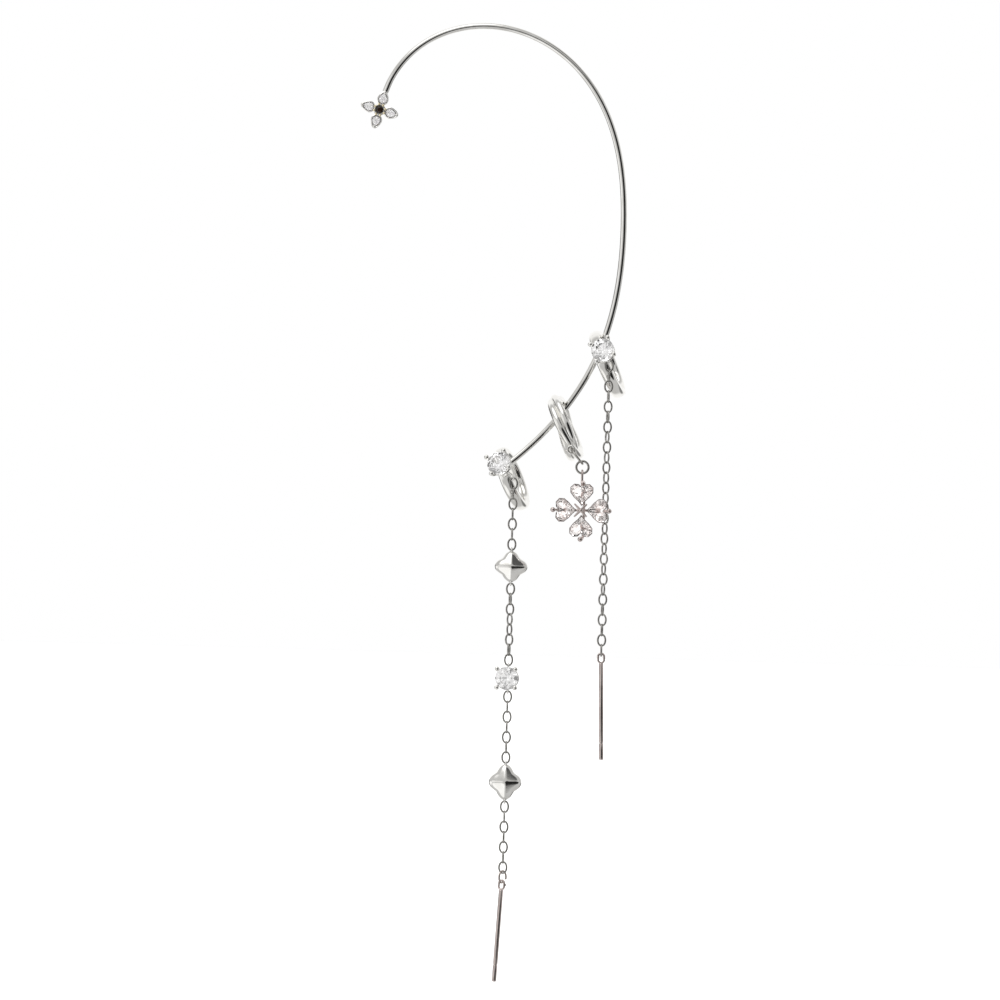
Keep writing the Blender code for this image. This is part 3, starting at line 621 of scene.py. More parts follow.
@dataclass
class WireDrawer:
    """Draws a round wire along a path, with Geometry Nodes. It may thin towards its end."""

    sides: int = 16
    sketch: NodeSketch = field(init=False)

    def __post_init__(self) -> None:
        """Builds the tree."""
        self.sketch = sketch = NodeSketch("drawn_wire")
        path = sketch.size("Geometry", "Geometry")
        radius = sketch.size("Wire Radius")
        taper = sketch.size("End Share")
        sides = sketch.size("Sides", "Int")
        material = sketch.size("Material", "Material")
        curve = sketch.add("MeshToCurve", ("Mesh", path))
        along = sketch.add("SplineParameter")
        lost = sketch.maths("SUBTRACT", 1.0, taper)
        thinning = sketch.maths("SUBTRACT", 1.0, sketch.maths("MULTIPLY", lost, along.outputs["Factor"]))
        profile = sketch.add("CurvePrimitiveCircle", ("Resolution", sides), ("Radius", radius))
        swept = sketch.add("CurveToMesh", ("Curve", curve.outputs[0]),
                           ("Profile Curve", profile.outputs[0]), ("Scale", thinning), ("Fill Caps", True))
        sketch.close(swept.outputs[0], material)

    def draw(self, path: Loop, radius: float, end_share: float = 1.0, closed: bool = False,
             sides: int | None = None) -> bpy.types.Mesh:
        """The wire's mesh.

        Args:
            path: Its centre line.
            radius: Its radius at the start.
            end_share: Its radius at the end, as a share of that at the start.
            closed: Whether the path meets itself.
            sides: How many sides its section has.

        Returns:
            The mesh, in place.
        """
        base = bpy.data.meshes.new("path")
        edges = [(step, step + 1) for step in range(len(path) - 1)]
        if closed:
            edges.append((len(path) - 1, 0))
        base.from_pydata([tuple(place) for place in path], edges, [])
        values = {"Wire Radius": radius, "End Share": end_share, "Sides": sides or self.sides}
        return self.sketch.grown(base, values)


@dataclass
class LinkMaker:
    """Hangs oval links in each other, with Geometry Nodes."""

    length: float = 1.655 * MM
    width: float = 1.18 * MM
    wire: float = 0.105 * MM
    drawn_wire: float = 0.118 * MM
    bite: float = 0.06 * MM
    steps: int = 28
    sides: int = 10
    looseness: float = 3.0
    seed: int = 7
    sketch: NodeSketch = field(init=False)

    def __post_init__(self) -> None:
        """Builds the tree."""
        self.sketch = sketch = NodeSketch("cable_chain")
        first = sketch.size("First Place", "Vector")
        pitch = sketch.size("Pitch")
        count = sketch.size("Links", "Int")
        step = sketch.size("Turn Step")
        radius = sketch.size("Ring Radius")
        stretch = sketch.size("Stretch")
        wire = sketch.size("Wire Radius")
        loose = sketch.size("Looseness")
        material = sketch.size("Material", "Material")
        circle = sketch.add("CurvePrimitiveCircle", ("Resolution", self.steps), ("Radius", radius))
        upright = sketch.add("Transform", ("Geometry", circle.outputs[0]),
                             ("Rotation", (math.radians(90.0), 0.0, 0.0)))
        here = sketch.add("InputPosition")
        height = sketch.add("ShaderNodeSeparateXYZ", ("Vector", here.outputs[0])).outputs["Z"]
        pull = sketch.maths("MULTIPLY", height, stretch)
        offset = sketch.add("ShaderNodeCombineXYZ", ("Z", pull))
        oval = sketch.add("SetPosition", ("Geometry", upright.outputs[0]), ("Offset", offset.outputs[0]))
        profile = sketch.add("CurvePrimitiveCircle", ("Resolution", self.sides), ("Radius", wire))
        link = sketch.add("CurveToMesh", ("Curve", oval.outputs[0]), ("Profile Curve", profile.outputs[0]))
        down = sketch.add("ShaderNodeCombineXYZ", ("Z", sketch.maths("MULTIPLY", pitch, -1.0)))
        line = sketch.add("MeshLine", ("Count", count), ("Start Location", first),
                          ("Offset", down.outputs[0]))
        index = sketch.add("InputIndex").outputs[0]
        slack = sketch.add("FunctionNodeRandomValue", ("Min", sketch.maths("MULTIPLY", loose, -1.0)),
                           ("Max", loose), ("Seed", self.seed))
        swing = next(socket for socket in slack.outputs if socket.enabled)
        angle = sketch.maths("ADD", sketch.maths("MULTIPLY", index, step), swing)
        spin = sketch.add("ShaderNodeCombineXYZ", ("Z", angle))
        copies = sketch.add("InstanceOnPoints", ("Points", line.outputs[0]), ("Instance", link.outputs[0]),
                            ("Rotation", spin.outputs[0]))
        sketch.close(copies.outputs[0], material)

    def hang(self, hook: Hook, links: int, twist: float) -> tuple[bpy.types.Mesh, Hook]:
        """A strand of links.

        Args:
            hook: What its first link hangs on.
            links: How many links it has.
            twist: How far it twists from end to end past a quarter turn at each link, in degrees.

        Returns:
            Its mesh, and what the next piece hangs on.
        """
        height = hook.middle(self.length, self.wire)
        pitch = self.length - 4 * self.wire + self.bite
        values = {
            "First Place": (hook.place.x, hook.place.y, height),
            "Pitch": pitch,
            "Links": links,
            "Turn Step": math.radians(90.0 + twist / (links - 1)),
            "Ring Radius": self.width / 2 - self.wire,
            "Stretch": (self.length - 2 * self.wire) / (self.width - 2 * self.wire) - 1.0,
            "Wire Radius": self.drawn_wire,
            "Looseness": math.radians(self.looseness),
        }
        mesh = self.sketch.grown(bpy.data.meshes.new("strand"), values)
        last = height - (links - 1) * pitch - (self.length / 2 - self.wire)
        return mesh, Hook(Vector((hook.place.x, hook.place.y, last)), self.wire)


# What hangs on what


@dataclass(frozen=True)
class Hook:
    """The centre of a wire that the next piece hangs on, and the wire's radius."""

    place: Vector
    wire: float

    def middle(self, length: float, own_wire: float) -> float:
        """The height of the middle of a link of some length that hangs here."""
        return self.place.z + self.wire + own_wire + GAP - (length / 2 - own_wire)


@dataclass(frozen=True)
class ChainEye:
    """The small eye that a chain hangs in, or by which a piece hangs in a chain."""

    radius: float = 0.30 * MM
    wire: float = 0.11 * MM
    steps: int = 24

    def height(self, hook: Hook) -> float:
        """The height of its middle when it hangs on a hook."""
        return hook.middle(2 * (self.radius + self.wire), self.wire)

    def add(self, shell: Shell, place: Vector, sides: int = THIN) -> None:
        """Adds the eye to a mesh, its axis along X."""
        shell.ring(self.radius, self.wire, at(place) @ turned(Axis.Z, 90.0), steps=self.steps, sides=sides)

    def hook(self, place: Vector) -> Hook:
        """Its lowest wire, as a hook for what hangs in it."""
        return Hook(place - Vector((0.0, 0.0, self.radius)), self.wire)


@dataclass(frozen=True)
class Bend:
    """How tightly the ear wire bends at a share of its length."""

    share: float
    curl: float


@dataclass
class EarWire:
    """The long curled wire, from the flower down to the lower cuff."""

    radius: float = 0.40 * MM
    length: float = 87.3 * MM
    bend_radius: float = 16.0 * MM
    heading: float = 72.4
    steps: int = 48
    finer: int = 6
    sides: int = 24
    bends: tuple[Bend, ...] = (
        Bend(0.0, 1.377),
        Bend(0.195, 1.052),
        Bend(0.390, 0.806),
        Bend(0.585, 0.224),
        Bend(0.780, 0.522),
        Bend(1.0, 0.323),
    )
    route: list[Vector] = field(init=False)

    def __post_init__(self) -> None:
        """Lays the centre line with its crest over the origin."""
        step = self.length / self.steps
        heading = math.radians(self.heading)
        places = [Vector((0.0, 0.0, 0.0))]
        for index in range(self.steps):
            turn = self.curl((index + 0.5) / self.steps) * step / self.bend_radius
            middle = heading - turn / 2
            places.append(places[-1] + Vector((math.cos(middle), 0.0, math.sin(middle))) * step)
            heading -= turn
        crest = self.crest(places)
        self.route = [place - crest + Vector((0.0, 0.0, self.radius)) for place in places]

    def curl(self, share: float) -> float:
        """The curl between two rows of the bend table.

        Args:
            share: The share of the wire's length.

        Returns:
            The curl there.
        """
        for low, high in zip(self.bends, self.bends[1:]):
            if share <= high.share:
                return low.curl + (high.curl - low.curl) * (share - low.share) / (high.share - low.share)
        return self.bends[-1].curl

    @staticmethod
    def crest(places: Loop) -> Vector:
        """The highest point of the arc through the highest place and its neighbours.

        Args:
            places: The centre line's places.

        Returns:
            The crest.
        """
        top = max(range(1, len(places) - 1), key=lambda index: places[index].z)
        before, highest, after = places[top - 1 : top + 2]
        shift = (before.z - after.z) / (2 * (before.z + after.z - 2 * highest.z))
        rise = (after.z - before.z) * shift / 4
        return highest + (after - before) * shift / 2 + Vector((0.0, 0.0, rise))

    def at_share(self, along: float) -> Vector:
        """The place on the centre line at a share of its length."""
        index = min(int(along * self.steps), self.steps - 1)
        return self.route[index].lerp(self.route[index + 1], along * self.steps - index)

    def smooth_route(self) -> list[Vector]:
        """The centre line with more points, rounded between the model's own.

        Returns:
            The places.
        """
        ends = [2 * self.route[0] - self.route[1], *self.route, 2 * self.route[-1] - self.route[-2]]
        places = []
        for index in range(1, len(ends) - 2):
            p0, p1, p2, p3 = ends[index - 1 : index + 3]
            for part in range(self.finer):
                t = part / self.finer
                places.append(0.5 * (2 * p1 + (p2 - p0) * t + (2 * p0 - 5 * p1 + 4 * p2 - p3) * t**2
                                     + (3 * p1 - p0 - 3 * p2 + p3) * t**3))
        return [*places, self.route[-1]]

    def build(self, shop: Workshop, drawer: WireDrawer) -> None:
        """Makes the wire with its rounded foot.

        Args:
            shop: The workshop that finishes the pieces.
            drawer: What draws wires.
        """
        shell = Shell().take(drawer.draw(self.smooth_route(), self.radius, sides=self.sides))
        shell.ball(self.radius, self.route[-1])
        shop.fit("ear_wire", shell.mesh(), BRIGHT_SILVER, "ear_hook")


@dataclass
class RoundStone:
    """A round stone with a table, stars, kites and a pointed pavilion."""

    radius: float = 1.5 * MM
    table: float = 0.56
    crown: float = 0.34
    girdle: float = 0.06
    pavilion: float = 0.86
    star_reach: float = 0.80
    lower_reach: float = 0.26
    facets: int = 8
    girdle_sides: int = 32

    def corners(self) -> list[Vector]:
        """The stone's corners, the girdle's top at height 0 and the table towards +Z.

        Returns:
            The corners.
        """
        places = []
        lean = math.cos(math.pi / self.facets)
        star = self.crown * (1.0 - self.star_reach * lean) / (1.0 - self.table)
        lower = -self.girdle - self.pavilion * (1.0 - self.lower_reach * lean)
        for step in range(self.facets):
            for reach, height, turn in ((self.table, self.crown, 0.0), (self.star_reach, star, 0.5),
                                        (self.lower_reach, lower, 0.5)):
                angle = math.tau * (step + turn) / self.facets
                places.append(Vector((reach * math.cos(angle), reach * math.sin(angle), height)))
        for step in range(self.girdle_sides):
            angle = math.tau * step / self.girdle_sides
            for height in (0.0, -self.girdle):
                places.append(Vector((math.cos(angle), math.sin(angle), height)))
        places.append(Vector((0.0, 0.0, -self.girdle - self.pavilion)))
        return [place * self.radius for place in places]

    def mesh(self, matrix: Matrix) -> bpy.types.Mesh:
        """The stone in place."""
        return Shell().hull(matrix @ corner for corner in self.corners()).mesh(FACETED)


@dataclass
class Setting:
    """The four claws, their beads, the gallery ring and the foot that hold a round stone."""

    stone: RoundStone = field(default_factory=RoundStone)
    count: int = 4
    claw: float = 0.20 * MM
    claw_taper: float = 0.8
    bead: float = 0.32 * MM
    lean: float = 0.18 * MM
    height: float = 0.40 * MM
    gallery: float = 1.30 * MM
    gallery_depth: float = 0.95 * MM
    gallery_wire: float = 0.14 * MM
    foot_share: float = 0.45

    def claws(self, shell: Shell, frame_of_stone: Matrix, foot: float, drawer: WireDrawer) -> None:
        """Adds the claws, from a depth under the girdle up to their beads.

        Args:
            shell: The mesh that it is added to.
            frame_of_stone: The stone's own frame.
            foot: How far under the girdle they start.
            drawer: What draws wires.
        """
        outside = self.stone.radius + 2 * GAP + self.claw
        stations = ((self.foot_share * self.gallery, -foot), (self.gallery, -self.gallery_depth),
                    (outside, -GAP), (self.stone.radius + self.lean, self.height))
        for reach_x, reach_y in round_outline(1.0, self.count):
            places = [frame_of_stone @ Vector((reach_x * r, reach_y * r, h)) for r, h in stations]
            shell.take(drawer.draw(rounded(places), self.claw, self.claw_taper, sides=THIN))
            shell.ball(self.bead, places[-1])
        flat = frame_of_stone @ moved(z=-self.gallery_depth) @ turned(Axis.X, 90.0)
        shell.ring(self.gallery, self.gallery_wire, flat, sides=THINNEST)


def rounded(places: Loop) -> list[Vector]:
    """A path with its corners cut twice, through the same ends.

    Args:
        places: The path.

    Returns:
        The new path.
    """
    path = list(places)
    for _ in range(2):
        eased = [path[0]]
        for low, high in zip(path, path[1:]):
            eased += [low.lerp(high, CORNER_CUT), low.lerp(high, 1.0 - CORNER_CUT)]
        path = [*eased, path[-1]]
    return path


@dataclass(frozen=True)
class Seat:
    """Where a cuff hangs on the ear wire and how it turns, in degrees.

    radius is the cuff's own, seat is how far under its outside the wire's centre runs, and from_foot is how
    far up the wire it hangs.
    """

    radius: float
    seat: float
    from_foot: float
    lean: float
    yaw: float
    swing: float

    def frame(self, wire: EarWire) -> Matrix:
        """Works out the cuff's own frame.

        Args:
            wire: The ear wire.

        Returns:
            The frame: X along the hoop's axis, Y to its back and Z to its top.
        """
        swing = math.radians(self.swing)
        tilt = turned(Axis.Y, -self.lean)
        down = tilt @ Vector((0.0, math.sin(swing), -math.cos(swing)))
        place = wire.at_share(1.0 - self.from_foot / wire.length) + (self.radius - self.seat) * down
        return at(place) @ tilt @ turned(Axis.Z, -self.yaw)


@dataclass
class StoneCuff:
    """A plain polished hoop with a round stone in claws and a small eye for its chain."""

    name: str
    seat: Seat
    stone_angle: float
    stone_side: float
    eye_side: float
    eye_drop: float
    thickness: float = 1.15 * MM
    width: float = 1.6 * MM
    rounding: float = 0.8
    basket: float = 1.9 * MM
    sink: float = 0.35 * MM
    eye_over_hoop: float = 0.42 * MM
    brace: float = 0.165 * MM
    brace_taper: float = 0.8
    foot_radius: float = 0.75 * MM
    foot_top: float = 0.55 * MM
    foot_height: float = 0.55 * MM
    section_points: int = 28
    steps: int = 96
    eye: ChainEye = field(default_factory=ChainEye)
    setting: Setting = field(default_factory=Setting)

    def hoop(self, shell: Shell, matrix: Matrix) -> None:
        """Adds the polished band round the frame's X axis.

        Args:
            shell: The mesh that it is added to.
            matrix: The cuff's own frame.
        """
        core = self.seat.radius - self.thickness / 2
        section = []
        for across, along in round_outline(1.0, self.section_points):
            out = math.copysign(abs(across) ** self.rounding, across) * self.thickness / 2
            side = math.copysign(abs(along) ** self.rounding, along) * self.width / 2
            section.append((core + out, side))
        loops = []
        for across, up in round_outline(1.0, self.steps):
            places = (Vector((side, out * across, out * up)) for out, side in section)
            loops.append(shell.loop(matrix @ place for place in places))
        for lower, upper in zip(loops, loops[1:] + loops[:1]):
            shell.bridge(lower, upper)

    def build(self, shop: Workshop, wire: EarWire, drawer: WireDrawer) -> Hook:
        """Makes the cuff's metal and stone.

        Args:
            shop: The workshop that finishes the pieces.
            wire: The ear wire.
            drawer: What draws wires.

        Returns:
            What its chain hangs on.
        """
        own = self.seat.frame(wire)
        over = self.seat.radius + self.basket
        stone = own @ turned(Axis.X, self.stone_angle) @ moved(self.stone_side, 0.0, over)
        aside = self.eye_side - self.stone_side
        eye = stone @ Vector((aside, -self.eye_drop, self.eye_over_hoop - self.basket))
        shell = Shell()
        self.hoop(shell, own)
        foot = self.basket + self.sink
        self.setting.claws(shell, stone, foot, drawer)
        self.eye.add(shell, eye, sides=THINNEST)
        start = stone @ Vector((0.0, -self.brace, self.brace / 2 - self.basket))
        towards = start - eye
        towards.x = 0.0
        end = eye + towards.normalized() * self.eye.radius
        shell.take(drawer.draw([start, end], self.brace, self.brace_taper, sides=THIN))
        top = self.foot_height - foot
        shell.lathe(((0.0, -foot), (self.foot_radius, -foot), (self.foot_top, top), (0.0, top)), stone)
        shop.fit(self.name + "_metal", shell.mesh(CRISP), BRIGHT_SILVER, self.name)
        shop.fit(self.name + "_gem", self.setting.stone.mesh(stone), CLEAR_STONE, self.name + "_stone")
        return self.eye.hook(eye)


@dataclass
class TwistedCuff:
    """A hoop of polished strands wound round each other, with an eye for the charm."""

    seat: Seat
    strands: int = 3
    turns: int = 1
    strand: float = 0.52 * MM
    sideways: float = 0.56 * MM
    outward: float = 0.24 * MM
    steps: int = 120
    strand_sides: int = 20
    eye_angle: float = 126.0
    standoff: float = 0.42 * MM
    eye_radius: float = 0.45 * MM
    eye_steps: int = 28
    wire: float = 0.15 * MM
    lean: float = -40.0

    def strand_path(self, own: Matrix, number: int) -> list[Vector]:
        """The centre line of one strand.

        Args:
            own: The cuff's own frame.
            number: Which strand it is.

        Returns:
            Its places.
        """
        core = self.seat.radius - self.outward - self.strand
        places = []
        for index in range(self.steps):
            around = math.tau * index / self.steps
            winding = self.turns * around + math.tau * number / self.strands
            reach = core + self.outward * math.cos(winding)
            side = self.sideways * math.sin(winding)
            places.append(own @ Vector((side, -reach * math.sin(around), reach * math.cos(around))))
        return places

    def build(self, shop: Workshop, wire: EarWire, drawer: WireDrawer) -> Vector:
        """Makes the cuff.

        Args:
            shop: The workshop that finishes the pieces.
            wire: The ear wire.
            drawer: What draws wires.

        Returns:
            Its eye's place.
        """
        own = self.seat.frame(wire)
        shell = Shell()
        for number in range(self.strands):
            shell.take(drawer.draw(self.strand_path(own, number), self.strand, closed=True,
                                   sides=self.strand_sides))
        eye_frame = own @ turned(Axis.X, self.eye_angle)
        eye = eye_frame @ Vector((0.0, 0.0, self.seat.radius + self.standoff))
        lean = turned(Axis.Y, self.lean)
        shell.ring(self.eye_radius, self.wire, at(eye) @ lean, steps=self.eye_steps)
        post = eye_frame @ Vector((0.0, 0.0, self.seat.radius - 2 * self.strand))
        shell.take(drawer.draw([post, eye + lean @ Vector((0.0, 0.0, self.eye_radius))], self.wire))
        shop.fit("twisted_metal", shell.mesh(SOFT), BRIGHT_SILVER, "twisted_cuff")
        return eye


@dataclass
class FlowerTip:
    """The small flower at the wire's end: four petal stones in cups round a dark stone."""

    reach: float = 2.5 * MM
    turn: float = -16.0
    petals: int = 4
    stone: float = 0.52 * MM
    tip: float = 0.26 * MM
    rim: float = 0.16 * MM
    depth: float = 0.85 * MM
    collar: float = 0.78 * MM
    centre: float = 0.46 * MM
    rise: float = 0.30 * MM
    bead: float = 0.17 * MM
    tip_bead: float = 0.21 * MM
    points: int = 36
    gem_points: int = 16
    point_power: int = 3
    back_share: float = 0.82
    back_height: float = 0.25
    rim_ease: float = 0.04 * MM
    rim_crest: float = 0.02 * MM
    gem_depth: float = 0.95
    gem_shift: float = 0.1
    eye_depth: float = 0.35 * MM
    collar_sides: int = 40
    bead_share: float = 0.9
    eye_sides: int = 12
    collar_edge: tuple[Pair, ...] = ((0.0, 0.12 * MM), (0.06 * MM, 0.03 * MM), (0.14 * MM, 0.0))
    eye_facets: tuple[Pair, ...] = ((1.0, 0.0), (0.85, 0.2), (0.55, 0.34), (0.0, 0.34))

    @property
    def middle(self) -> float:
        """How far the round end of a petal's stone sits from the flower's centre."""
        return self.collar + GAP + self.stone

    def pear(self, radius: float, length: float, points: int) -> list[Pair]:
        """An outline with a round end towards -X and a point towards +X.

        Args:
            radius: The round end's radius.
            length: How far the point is from the middle of the round end.
            points: How many points it has.

        Returns:
            The outline.
        """
        outline = []
        for index in range(points):
            angle = math.tau * index / points
            pull = max(0.0, math.cos(angle)) ** self.point_power
            outline.append((radius * math.cos(angle) + (length - radius) * pull, radius * math.sin(angle)))
        return outline

    def cup(self, shell: Shell, petal: Matrix) -> None:
        """Adds a petal's pointed bezel, its rim eased and a bead over its tip.

        Args:
            shell: The mesh that it is added to.
            petal: The petal's own frame.
        """
        far = self.reach - self.middle
        outer = self.pear(self.stone + self.rim + GAP, far, self.points)
        inner = self.pear(self.stone + GAP, far - self.tip, self.points)
        back = shrunk(outer, self.back_share)
        crest = [((x0 + x1) / 2, (y0 + y1) / 2) for (x0, y0), (x1, y1) in zip(outer, inner)]
        floor = self.depth - self.gem_depth * self.stone - 2 * GAP
        eased = self.depth - self.rim_ease
        own = petal @ moved(x=self.middle)
        layers = ((back, 0.0), (outer, self.back_height * self.depth), (outer, eased),
                  (crest, self.depth + self.rim_crest), (inner, eased), (inner, floor))
        shell.loft(layers, own)
        shell.ball(self.tip_bead, own @ Vector((far - self.tip_bead, 0.0, self.depth)))

    def place(self, wire: EarWire) -> Matrix:
        """Works out the flower's own frame.

        Args:
            wire: The ear wire.

        Returns:
            The frame, Z towards the viewer and X along the petal that meets the wire.
        """
        heading = 90.0 + self.turn
        angle = math.radians(heading)
        centre = wire.route[0] - Vector((math.cos(angle), 0.0, math.sin(angle))) * (self.reach - SOLDER)
        centre.y = self.depth / 2
        return at(centre) @ turned(Axis.X, 90.0) @ turned(Axis.Z, heading)

    def petal(self, shop: Workshop, shell: Shell, face: Matrix, index: int) -> None:
        """Adds a petal's cup and makes its stone.

        Args:
            shop: The workshop that finishes the pieces.
            shell: The mesh that the cup is added to.
            face: The flower's own frame.
            index: Which petal it is.
        """
        petal = face @ turned(Axis.Z, 360.0 * index / self.petals)
        self.cup(shell, petal)
        outline = self.pear(self.stone, self.reach - self.middle - self.tip - 2 * GAP, self.gem_points)
        layers = cut_layers(outline, self.stone, (self.gem_shift * self.stone, 0.0))
        gem = Shell().loft(layers, petal @ moved(x=self.middle, z=self.depth), zigzag=True)
        shop.fit(f"flower_gem_{index + 1}", gem.mesh(FACETED), PETAL_STONE, f"flower_stone_{index + 1}")

    def build(self, shop: Workshop, wire: EarWire) -> None:
        """Makes the flower's setting and its five stones.

        Args:
            shop: The workshop that finishes the pieces.
            wire: The ear wire.
        """
        face = self.place(wire)
        shell = Shell()
        for index in range(self.petals):
            self.petal(shop, shell, face, index)
        rise = self.depth + self.rise
        seat = rise - self.eye_depth
        inner = self.centre + GAP
        edge = [(self.collar - inset, rise - under) for inset, under in self.collar_edge]
        well = ((inner, rise - self.rim_crest), (inner, seat), (0.0, seat))
        profile = ((0.0, 0.0), (self.collar, 0.0), *edge, *well)
        shell.lathe(profile, face, self.collar_sides)
        shop.fit("flower_setting", shell.mesh(CRISP), BRIGHT_SILVER, "ear_hook")
        beads = Shell()
        for x, y in round_outline(self.bead_share * self.collar, 2 * self.petals):
            beads.ball(self.bead, face @ Vector((x, y, rise)))
        shop.fit("flower_beads", beads.mesh(), GILT, "ear_hook")
        dome = [(share * self.centre, rise + over * self.centre) for share, over in self.eye_facets]
        eye = Shell().lathe(((0.0, seat + GAP), (self.centre, seat + GAP), *dome), face, self.eye_sides)
        shop.fit("flower_eye", eye.mesh(FACETED), DARK_STONE, "flower_centre_stone")


def cut_layers(outline: Sequence[Pair], width: float, centre: Pair) -> list[tuple[list[Pair], float]]:
    """The layers of a faceted stone of any outline, its girdle's top at height 0 and its table up.

    Args:
        outline: The girdle's outline.
        width: The size that its crown and pavilion are shares of.
        centre: Where the table and the culet are centred.

    Returns:
        Outlines with their heights, from the culet up.
    """
    return [(shrunk(outline, share, centre), height * width) for share, height in CUT]


# The heart curve's cosine weights, and what they add up to at its point and at the ends of its lobes
HEART_WAVES = (13, -5, -2, -1)
HEART_POINT = -17.0
HEART_LOBES = 12.0


@dataclass
class CloverCharm:
    """The clover charm: four heart stones held by a cross, claws and a bail, on two rings."""

    hanger: float = 1.12 * MM
    hanger_steps: int = 56
    round_ring: float = 0.78 * MM
    ring_steps: int = 48
    wire: float = 0.15 * MM
    lean: float = -40.0
    heart_width: float = 3.05 * MM
    heart_length: float = 2.80 * MM
    heart_points: int = 18
    girdle_wire: float = 0.055 * MM
    girdle_sides: int = 8
    inner: float = 0.58 * MM
    thickness: float = 1.25 * MM
    middle_share: float = 0.58
    claw: float = 0.17 * MM
    bead: float = 0.33 * MM
    bead_height: float = 0.20 * MM
    post: float = 0.15 * MM
    cross_reach: float = 1.15 * MM
    cross_wire: float = 0.1875 * MM
    cross_taper: float = 0.55
    cross_bead: float = 0.225 * MM
    cross_height: float = 0.42 * MM
    arm_out: float = 0.30 * MM
    arm_bend: float = 0.6
    arm_rounding: float = 0.25 * MM
    bail_radius: float = 0.55 * MM
    bail_height: float = 1.9 * MM
    bail_over_tip: float = 0.75 * MM
    turn: float = -14.0
    forward: float = 0.75 * MM

    def heart(self) -> list[Pair]:
        """A heart with its point at the origin and its two lobes towards +X.

        Returns:
            The outline.
        """
        outline = []
        for index in range(self.heart_points):
            angle = math.tau * index / self.heart_points
            along = sum(weight * math.cos((wave + 1) * angle) for wave, weight in enumerate(HEART_WAVES))
            share = (along - HEART_POINT) / (HEART_LOBES - HEART_POINT)
            outline.append((share * self.heart_length, math.sin(angle) ** 3 * self.heart_width / 2))
        return outline

    def rings(self, shop: Workshop, eye: Vector, eye_radius: float) -> Vector:
        """Makes the two rings.

        Args:
            shop: The workshop that finishes the pieces.
            eye: The cuff's eye.
            eye_radius: Its radius.

        Returns:
            Where the bail's top wire passes.
        """
        lean = turned(Axis.Y, self.lean)
        down = lean @ Vector((0.0, 0.0, -1.0))
        middle = eye + down * (self.hanger + eye_radius - 2 * self.wire - GAP)
        side_on = at(middle) @ lean @ turned(Axis.Z, 90.0)
        hanger = Shell().ring(self.hanger, self.wire, side_on, steps=self.hanger_steps)
        shop.fit("hanger_loop", hanger.mesh(), LINK_SILVER, "hanger_ring")
        lowest = middle + down * self.hanger
        height = lowest.z + 2 * self.wire + GAP - self.round_ring
        face_on = moved(lowest.x, lowest.y, height)
        loop = Shell().ring(self.round_ring, self.wire, face_on, steps=self.ring_steps)
        shop.fit("round_loop", loop.mesh(), LINK_SILVER, "round_ring")
        return Vector((lowest.x, lowest.y, height - self.round_ring + 2 * self.wire + GAP))

    def metal(self, shell: Shell, drawer: WireDrawer, face: Matrix) -> None:
        """Adds the post, the two bars behind the stones, the cross over them and the claws' beads.

        Args:
            shell: The mesh that it is added to.
            drawer: What draws wires.
            face: The charm's own frame.
        """
        back = -CUT_DEPTH * self.thickness - GAP - self.claw
        outside = self.inner + self.heart_length + self.arm_out
        heart = Vector((0.0, 0.0, self.cross_height))
        shell.take(drawer.draw([face @ Vector((0.0, 0.0, back)), face @ heart], self.post))
        side = ((outside - self.arm_rounding / 3, self.bead_height), (outside, 0.0),
                (outside, self.arm_bend * back), (outside - self.arm_rounding, back))
        places = [(-x, z) for x, z in side] + [(x, z) for x, z in reversed(side)]
        for index in range(2):
            bar = face @ turned(Axis.Z, 90.0 * index)
            path = rounded([bar @ Vector((x, 0.0, z)) for x, z in places])
            shell.take(drawer.draw(path, self.claw, sides=THIN))
            cross = face @ turned(Axis.Z, 45.0 + 90.0 * index) @ at(heart)
            for reach in (self.cross_reach, -self.cross_reach):
                arm = [cross @ Vector((x, 0.0, 0.0)) for x in (0.0, reach)]
                shell.take(drawer.draw(arm, self.cross_wire, self.cross_taper, sides=THIN))
        shell.ball(self.cross_bead, face @ heart)
        tip = Vector((outside, 0.0, self.bead_height))
        for degrees in (0.0, 180.0, 270.0):
            shell.ball(self.bead, face @ turned(Axis.Z, degrees) @ tip)

    def stone(self, shop: Workshop, drawer: WireDrawer, face: Matrix, index: int) -> None:
        """Makes a heart stone and a dark line round its girdle, which is painted shade for the stone's grey
        edge.

        Args:
            shop: The workshop that finishes the pieces.
            drawer: What draws wires.
            face: The charm's own frame.
            index: Which stone it is.
        """
        arm = face @ turned(Axis.Z, 90.0 * index) @ moved(x=self.inner)
        layers = cut_layers(self.heart(), self.thickness, (self.middle_share * self.heart_length, 0.0))
        gem = Shell().loft(layers, arm, zigzag=True)
        shop.fit(f"heart_gem_{index + 1}", gem.mesh(FACETED), HEART_STONE, f"heart_stone_{index + 1}")
        edge = [arm @ Vector((x, y, 0.0)) for x, y in self.heart()]
        # Painted shade: the dark line round the girdle stands for the grey edge of the cut stone
        girdle = drawer.draw(edge, self.girdle_wire, closed=True, sides=self.girdle_sides)
        shop.fit(f"heart_girdle_{index + 1}", girdle, GIRDLE_PAINTED_SHADE, f"heart_stone_{index + 1}")

